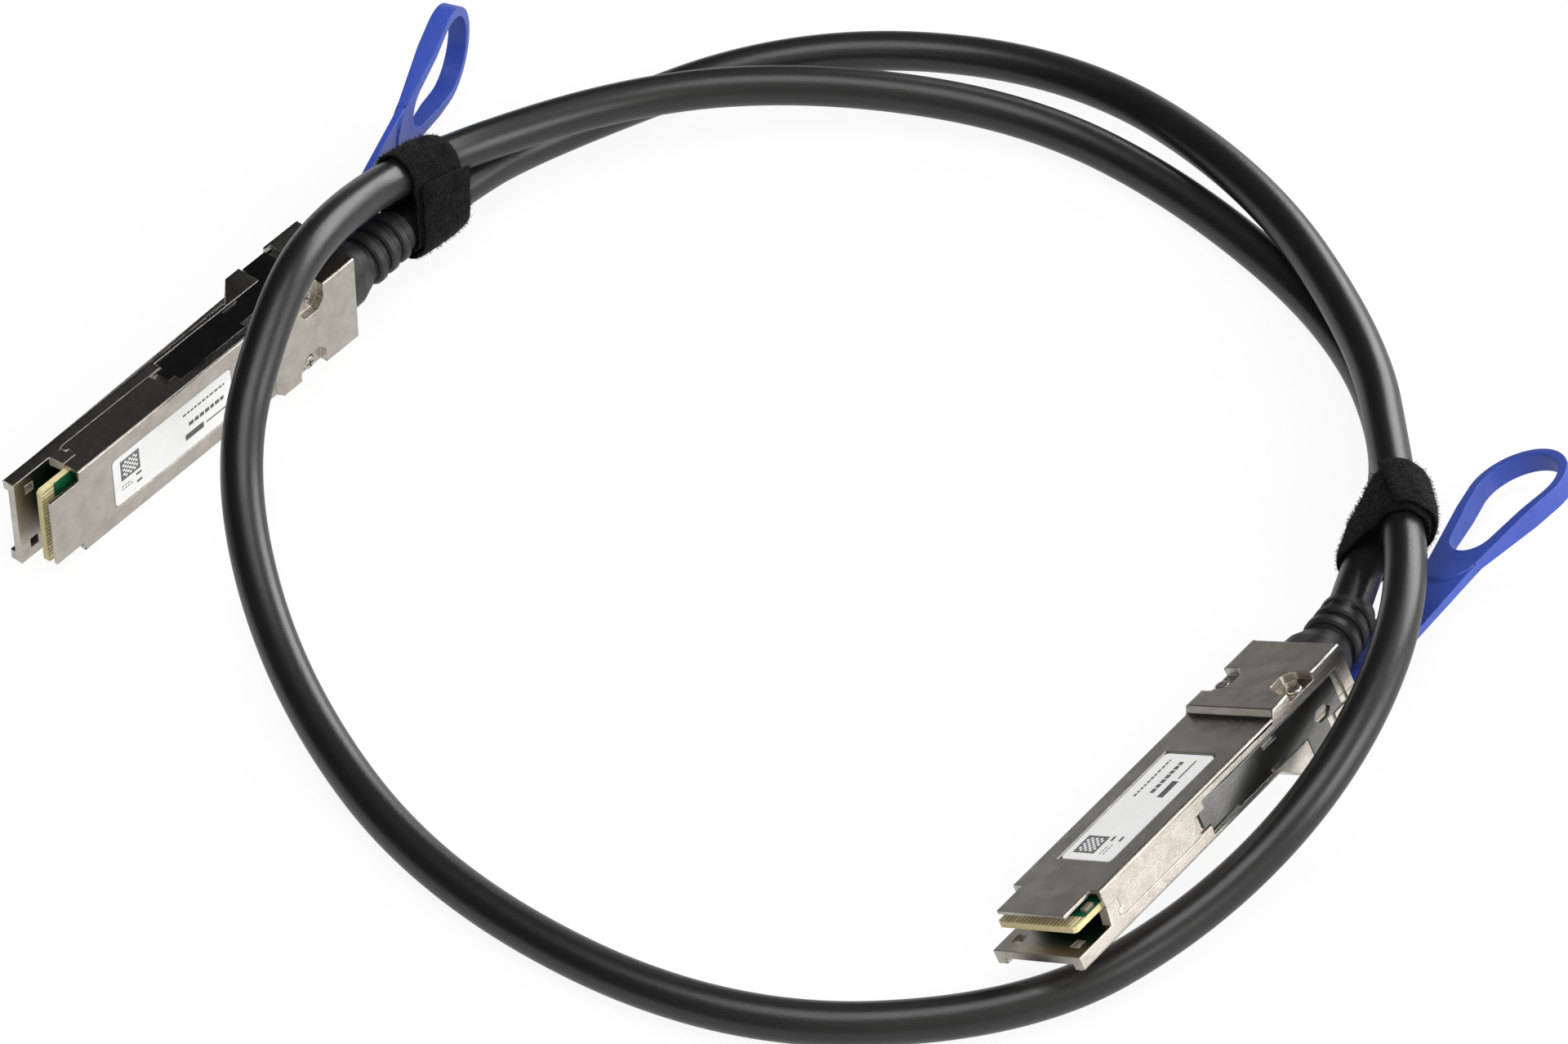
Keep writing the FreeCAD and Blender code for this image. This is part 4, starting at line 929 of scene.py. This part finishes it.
@dataclass
class Cable:
    """The round jacketed cable, lying in a loose double loop."""

    diameter: float = 7.0 * MM
    length: float = 0.9675
    exit: Point = (0.00505, 0.082085, 0.009175)
    route: tuple[Point, ...] = (
        (-0.02095, 0.082085, 0.009175),
        (0.0182, 0.082085, 0.009175),
        (0.0447, 0.0814, 0.0035),
        (0.0897, 0.0634, 0.0035),
        (0.1152, 0.0229, 0.0045),
        (0.1072, -0.0241, 0.0100),
        (0.0842, -0.0636, 0.0130),
        (0.0622, -0.0836, 0.0155),
        (0.0356, -0.1065, 0.0215),
        (0.0026, -0.1170, 0.0175),
        (-0.0263, -0.1131, 0.0055),
        (-0.0593, -0.1031, 0.0035),
        (-0.0908, -0.0691, 0.0040),
        (-0.0973, -0.0166, 0.0035),
        (-0.0823, 0.0284, 0.0045),
        (-0.0598, 0.0609, 0.0155),
        (-0.0358, 0.0721, 0.0285),
        (-0.0173, 0.0782, 0.0290),
        (0.0132, 0.0863, 0.0158),
        (0.0547, 0.0724, 0.0110),
        (0.0792, 0.0504, 0.0095),
        (0.0997, 0.0209, 0.0050),
        (0.1027, -0.0116, 0.0035),
        (0.0937, -0.0521, 0.0035),
        (0.0722, -0.0791, 0.0055),
        (0.0449, -0.0910, 0.0109),
        (0.02842, -0.09756, 0.01145),
        (0.01035, -0.09810, 0.01206),
    )
    steps: int = 22
    ring_steps: int = 9

    def curve(self, name: str, depth: float) -> Object:
        """Make the route's smooth spline.

        Args:
            name: Name of the object.
            depth: Radius of the tube round it, or 0 for the bare line.

        Returns:
            The curve object.
        """
        data = bpy.data.curves.new(name, "CURVE")
        data.dimensions = "3D"
        spline = data.splines.new("NURBS")
        spline.points.add(len(self.route) - 1)
        for point, place in zip(spline.points, self.route):
            point.co = (*place, 1.0)
        spline.order_u = 3
        spline.use_endpoint_u = True
        spline.resolution_u = self.steps
        data.resolution_u = self.steps
        data.bevel_depth = depth
        data.bevel_resolution = self.ring_steps
        data.use_fill_caps = depth > 0
        return add_object(name, data)

    def line(self) -> list[Vector]:
        """Read points off the route's smooth line.

        Returns:
            The points, in order.
        """
        bare = self.curve("cable_line", 0.0)
        graph = bpy.context.evaluated_depsgraph_get()
        mesh = bpy.data.meshes.new_from_object(bare.evaluated_get(graph))
        points = [vertex.co.copy() for vertex in mesh.vertices]
        bpy.data.meshes.remove(mesh)
        bpy.data.objects.remove(bare)
        return points

    def build(self, material: Material) -> None:
        """Args:
            material: The jacket's finish.
        """
        cable = self.curve("cable_round", self.diameter / 2)
        seat(cable, ROOT, material, "cable")


# ---- ties


@dataclass(frozen=True)
class Pile:
    """The short fibres on a tie's face."""

    count: int = 9000
    length: float = 0.75 * MM
    shortest: float = 0.35
    upright: float = 1.1
    lean: float = 0.75
    bend: float = 0.35
    half_width: float = 0.035 * MM
    knee: float = 0.6
    knee_bend: float = 0.5

    def fibre(self, root: Vector, normal: Vector, chance: random.Random) -> list[Vector]:
        """Work out one fibre.

        Args:
            root: Where it grows.
            normal: The strap's outward direction there.
            chance: Source of its lean and length.

        Returns:
            Two points at its foot, two at its knee and one at its tip.
        """
        sway = Vector([chance.uniform(-1, 1) for _ in range(3)])
        grow = (normal * self.upright + sway * self.lean).normalized()
        grow *= self.length * chance.uniform(self.shortest, 1.0)
        bend = sway.cross(normal) * self.length * self.bend
        across = grow.cross(sway).normalized() * self.half_width
        knee = root + grow * self.knee + bend * self.knee_bend
        return [root - across, root + across, knee + across, knee - across, root + grow + bend]


@dataclass
class StrapTie:
    """A woolly hook-and-loop strap wound round two strands of the cable."""

    name: str
    place: Point
    along: Point
    start: float
    seed: int
    turns: float = 1.35
    width: float = 11.5 * MM
    thickness: float = 1.05 * MM
    inside: float = 3.75 * MM
    strand_reach: float = 21 * MM
    across: int = 12
    steps_a_turn: int = 110
    lap_start: float = 0.93
    lap_ramp: float = 0.07
    lap_lift: float = 1.08
    skew: float = 2.0 * MM
    skew_start: float = 0.9
    rim_drop: float = 0.45
    rim_power: int = 6
    ripple: float = 0.22 * MM
    ripple_scale: float = 420.0
    wave: float = 0.12 * MM
    wave_scale: float = 300.0
    pile: Pile = Pile()

    @property
    def axis(self) -> Vector:
        """Direction of the strands through the tie."""
        return Vector(self.along).normalized()

    @property
    def rounds(self) -> int:
        """Number of steps along the strap."""
        return int(self.turns * self.steps_a_turn)

    def _strands(self, line: list[Vector], offset: float) -> tuple[Vector, Vector]:
        """Middles of the two strands where they cross a plane across the tie.

        Args:
            line: The cable's smooth line.
            offset: Distance of the plane from the tie's middle.

        Returns:
            The lower and the upper strand's point.
        """
        centre = Vector(self.place) + self.axis * offset
        found = []
        for start, end in zip(line, line[1:]):
            before = (start - centre).dot(self.axis)
            after = (end - centre).dot(self.axis)
            if before * after > 0 or before == after:
                continue
            point = start + (end - start) * (before / (before - after))
            if (point - centre).length < self.strand_reach:
                found.append(point)
        found.sort(key=lambda point: point.z)
        return found[0], found[-1]

    def _at(self, strands: tuple[Vector, Vector], turn: float, radius: float) -> Vector:
        """Point of the loop round the strands.

        Args:
            strands: Middles of the two strands.
            turn: Place round the loop, where each whole number is one turn.
            radius: Distance from the strands' middles.

        Returns:
            The point.
        """
        low, high = strands
        apart = (high - low).normalized()
        side = self.axis.cross(apart)
        quarter = (turn % 1.0) * 4
        if quarter < 1.0:
            angle = math.pi * quarter
            return low + radius * (-side * math.cos(angle) - apart * math.sin(angle))
        if quarter < 2.0:
            return low.lerp(high, quarter - 1.0) + side * radius
        if quarter < 3.0:
            angle = math.pi * (quarter - 2.0)
            return high + radius * (side * math.cos(angle) + apart * math.sin(angle))
        return high.lerp(low, quarter - 3.0) - side * radius

    def _points(self, line: list[Vector]) -> list[Vector]:
        """Work out the strap's points.

        Args:
            line: The cable's smooth line.

        Returns:
            Its inner face, then its outer face, row by row along it.
        """
        strands = [self._strands(line, (step / self.across - 0.5) * self.width)
                   for step in range(self.across + 1)]
        # Without a seed of its own, noise_vector starts from the clock.
        noise.seed_set(self.seed)
        points = []
        for is_outer in (False, True):
            for index in range(self.rounds + 1):
                wound = index / self.rounds * self.turns
                lap = min(1.0, max(0.0, wound - self.lap_start) / self.lap_ramp)
                lift = self.lap_lift * self.thickness * lap
                slide = self.axis * (self.skew * max(0.0, wound - self.skew_start))
                for step, pair in enumerate(strands):
                    rim = abs(step / self.across - 0.5) * 2
                    drop = self.rim_drop * self.thickness * rim ** self.rim_power
                    radius = self.inside + lift + (self.thickness - drop if is_outer else drop)
                    point = self._at(pair, self.start + wound, radius) + slide
                    wave = noise.noise(point * self.wave_scale + Vector((self.seed, 0, 0)))
                    point += noise.noise_vector(point * self.ripple_scale) * self.ripple
                    points.append(point + Vector((0, 0, wave * self.wave)))
        return points

    def _faces(self) -> list[tuple[int, int, int, int]]:
        """Work out the strap's faces.

        Returns:
            Its inner and outer face, its edges and its ends, as indices of points.
        """
        count = self.across + 1
        top = (self.rounds + 1) * count
        faces = []
        for index in range(self.rounds):
            for step in range(self.across):
                a = index * count + step
                faces.append((a, a + 1, a + count + 1, a + count))
                faces.append((top + a, top + a + count, top + a + count + 1, top + a + 1))
            for a in (index * count, index * count + self.across):
                faces.append((a, a + count, top + a + count, top + a))
        for end in (0, self.rounds * count):
            for a in range(end, end + self.across):
                faces.append((a, a + 1, top + a + 1, top + a))
        return faces

    def build(self, line: list[Vector], material: Material) -> None:
        """Model the strap and its pile.

        Args:
            line: The cable's smooth line.
            material: The fabric.
        """
        tie = new_mesh(self.name + "_woolly", self._points(line), self._faces())
        with editing(tie):
            bpy.ops.mesh.normals_make_consistent(inside=False)
        modify(tie, "smooth", "SUBSURF", levels=1, render_levels=1)
        bpy.ops.object.shade_smooth()
        self._add_pile(tie)
        seat(tie, ROOT, material, self.name)

    def _add_pile(self, tie: Object) -> None:
        """Grow short fibres out of the strap and join them to it.

        Args:
            tie: The strap's object.
        """
        chance = random.Random(self.seed)
        vertices = tie.data.vertices
        polygons = list(tie.data.polygons)
        points, faces = [], []
        for _ in range(self.pile.count):
            polygon = polygons[chance.randrange(len(polygons))]
            near, right, far, left = (vertices[index].co for index in polygon.vertices)
            share = chance.random()
            root = near.lerp(right, share).lerp(left.lerp(far, share), chance.random())
            foot = len(points)
            points += self.pile.fibre(root, polygon.normal, chance)
            faces += [(foot, foot + 1, foot + 2, foot + 3), (foot + 3, foot + 2, foot + 4)]
        join(tie, new_mesh(self.name + "_pile", points, faces))


# ---- studio


@dataclass(frozen=True)
class Softbox:
    """A rectangular lamp."""

    name: str
    place: Point
    size: Span
    watts: float
    mirrored: bool = True
    aim: Point = (0.0, 0.0, 0.0)

    def build(self) -> None:
        """Add the lamp to the scene."""
        data = bpy.data.lights.new(self.name, "AREA")
        data.shape = "RECTANGLE"
        data.size, data.size_y = self.size
        data.energy = self.watts
        lamp = add_object(self.name, data)
        lamp.visible_glossy = self.mirrored
        lamp.location = self.place
        look = Vector(self.aim) - Vector(self.place)
        lamp.rotation_euler = look.to_track_quat("-Z", "Y").to_euler()


@dataclass
class Studio:
    """White floor, soft light and the camera."""

    camera_place: Point = (-0.5746, -0.4729, 0.7798)
    camera_turn: tuple[float, float, float] = (43.5262, -0.2156, -50.7189)
    lens: float = 150.0
    sensor: float = 36.0
    nearest: float = 0.01
    floor_size: float = 6.0
    mirror_reach: Span = (0.24, 0.528)
    mirror_strength: Span = (0.7, 0.10)
    paper_scale: float = 60.0
    paper_span: Span = (0.3, 0.7)
    paper_white: Span = (0.79, 0.81)
    glow_share: float = 0.9
    room_toward: Point = (0.12, -0.95, 0.30)
    room_span: Span = (-0.05, 0.95)
    room_dark: Colour = (0.012, 0.012, 0.013)
    room_bright: Colour = (0.55, 0.545, 0.53)
    softboxes: tuple[Softbox, ...] = (
        Softbox("key_right", (0.42, -1.02, 0.52), (0.7, 0.36), 3.4, aim=(0.0, 0.0, 0.02)),
        Softbox("wall_right", (0.62, -1.0, 0.16), (0.9, 0.28), 1.75, aim=(0.0, 0.0, 0.03)),
        Softbox("front_soft", (-0.12, -1.02, 0.78), (0.55, 0.45), 5.5, mirrored=False),
        Softbox("fill_front", (-0.66, -0.66, 0.93), (0.5, 0.3), 3.2, mirrored=False),
        Softbox("rear_right", (1.24, -0.07, 0.51), (1.1, 0.8), 14.0),
        Softbox("overhead", (-0.03, -0.12, 1.25), (0.85, 0.7), 5.0),
        Softbox("top_soft", (-0.30, 0.1, 1.25), (0.7, 0.7), 6.0, mirrored=False),
    )

    def build(self) -> None:
        """Add the floor, the world, the lamps and the camera."""
        self._floor()
        self._world()
        for softbox in self.softboxes:
            softbox.build()
        self._camera()

    def _floor(self) -> None:
        """Add a floor that is white to the camera but keeps a faint shadow."""
        deselect()
        bpy.ops.mesh.primitive_plane_add(size=self.floor_size)
        floor = bpy.context.object
        floor.name = "floor"
        material = bpy.data.materials.new("floor_white")
        material.use_nodes = True
        graph = Graph(material.node_tree)
        graph.tree.nodes.remove(graph.tree.nodes["Principled BSDF"])
        output = graph.tree.nodes["Material Output"]
        place = graph.add("TexCoord").outputs["Object"]
        reach = graph.add("VectorMath", {0: place}, operation="LENGTH").outputs["Value"]
        fade = graph.spread(reach, self.mirror_reach, self.mirror_strength)
        speck = graph.noise(place, self.paper_scale)
        paper = graph.spread(speck, self.paper_span, self.paper_white)
        diffuse = graph.add("BsdfDiffuse", {"Color": paper})
        rays = graph.add("LightPath").outputs
        mirror = graph.maths("MAXIMUM", rays["Is Glossy Ray"], rays["Is Transmission Ray"])
        glow = graph.add("Emission", {"Color": graph.blend(mirror, WHITE, fade)})
        seen = graph.maths("MAXIMUM", rays["Is Camera Ray"], mirror)
        share = graph.maths("MULTIPLY", seen, self.glow_share)
        mix = graph.add("MixShader", {0: share, 1: diffuse.outputs[0], 2: glow.outputs[0]})
        graph.join(mix.outputs[0], output.inputs["Surface"])
        dress(floor, material)

    def _world(self) -> None:
        """Make the room: bright towards the front and right, dark behind, white to the camera."""
        world = bpy.data.worlds.new("room")
        bpy.context.scene.world = world
        world.use_nodes = True
        graph = Graph(world.node_tree)
        background = graph.tree.nodes["Background"]
        direction = graph.add("TexCoord").outputs["Generated"]
        facing = graph.dot(direction, tuple(Vector(self.room_toward).normalized()))
        bright = graph.spread(facing, self.room_span)
        colour = graph.blend(bright, rgb(self.room_dark), rgb(self.room_bright))
        camera_ray = graph.add("LightPath").outputs["Is Camera Ray"]
        graph.join(graph.blend(camera_ray, colour, WHITE), background.inputs["Color"])

    def _camera(self) -> None:
        """Add the camera."""
        data = bpy.data.cameras.new("camera")
        data.lens = self.lens
        data.sensor_width = self.sensor
        data.clip_start = self.nearest
        camera = add_object("camera", data)
        camera.location = self.camera_place
        camera.rotation_euler = [math.radians(angle) for angle in self.camera_turn]
        bpy.context.scene.camera = camera


# ---- the whole scene


def write_sizes() -> None:
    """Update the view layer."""
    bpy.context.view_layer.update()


def main() -> None:
    """Build the studio, the cable, the plugs and the ties, in that order."""
    logging.basicConfig(level=logging.INFO, format="%(name)s %(message)s")
    bpy.context.scene.view_settings.view_transform = "Standard"
    deselect()
    Studio().build()
    finishes = {
        finish.name: finish.material()
        for finish in (
            NICKEL_CASTING, LATCH_STEEL, SCREW_STEEL, CRIMP_COPPER, SPRING_WIRE, PAIR_SHIELD,
            CARD_CORE, SOLDER_MASK, CONTACT_FIELD, CONTACT_GOLD, CERAMIC, INNER_MOULD, LABEL_FILM,
            PRINT_INK, BOOT_RUBBER, TAB_PLASTIC, CABLE_JACKET, TIE_FABRIC,
        )
    }
    cable = Cable()
    cable.build(finishes["cable_jacket"])
    for side in Side:
        Plug(side).build(finishes)
    line = cable.line()
    for tie in (
        StrapTie("left_tie", (0.0116, 0.0839, 0.0122), (1.0, 0.0, -0.12), start=0.15, seed=5),
        StrapTie("right_tie", (0.0514, -0.0900, 0.0128), (0.83, 0.55, -0.12), start=0.35, seed=8),
    ):
        tie.build(line, finishes["tie_fabric"])
    write_sizes()


if __name__ == "__main__":
    main()
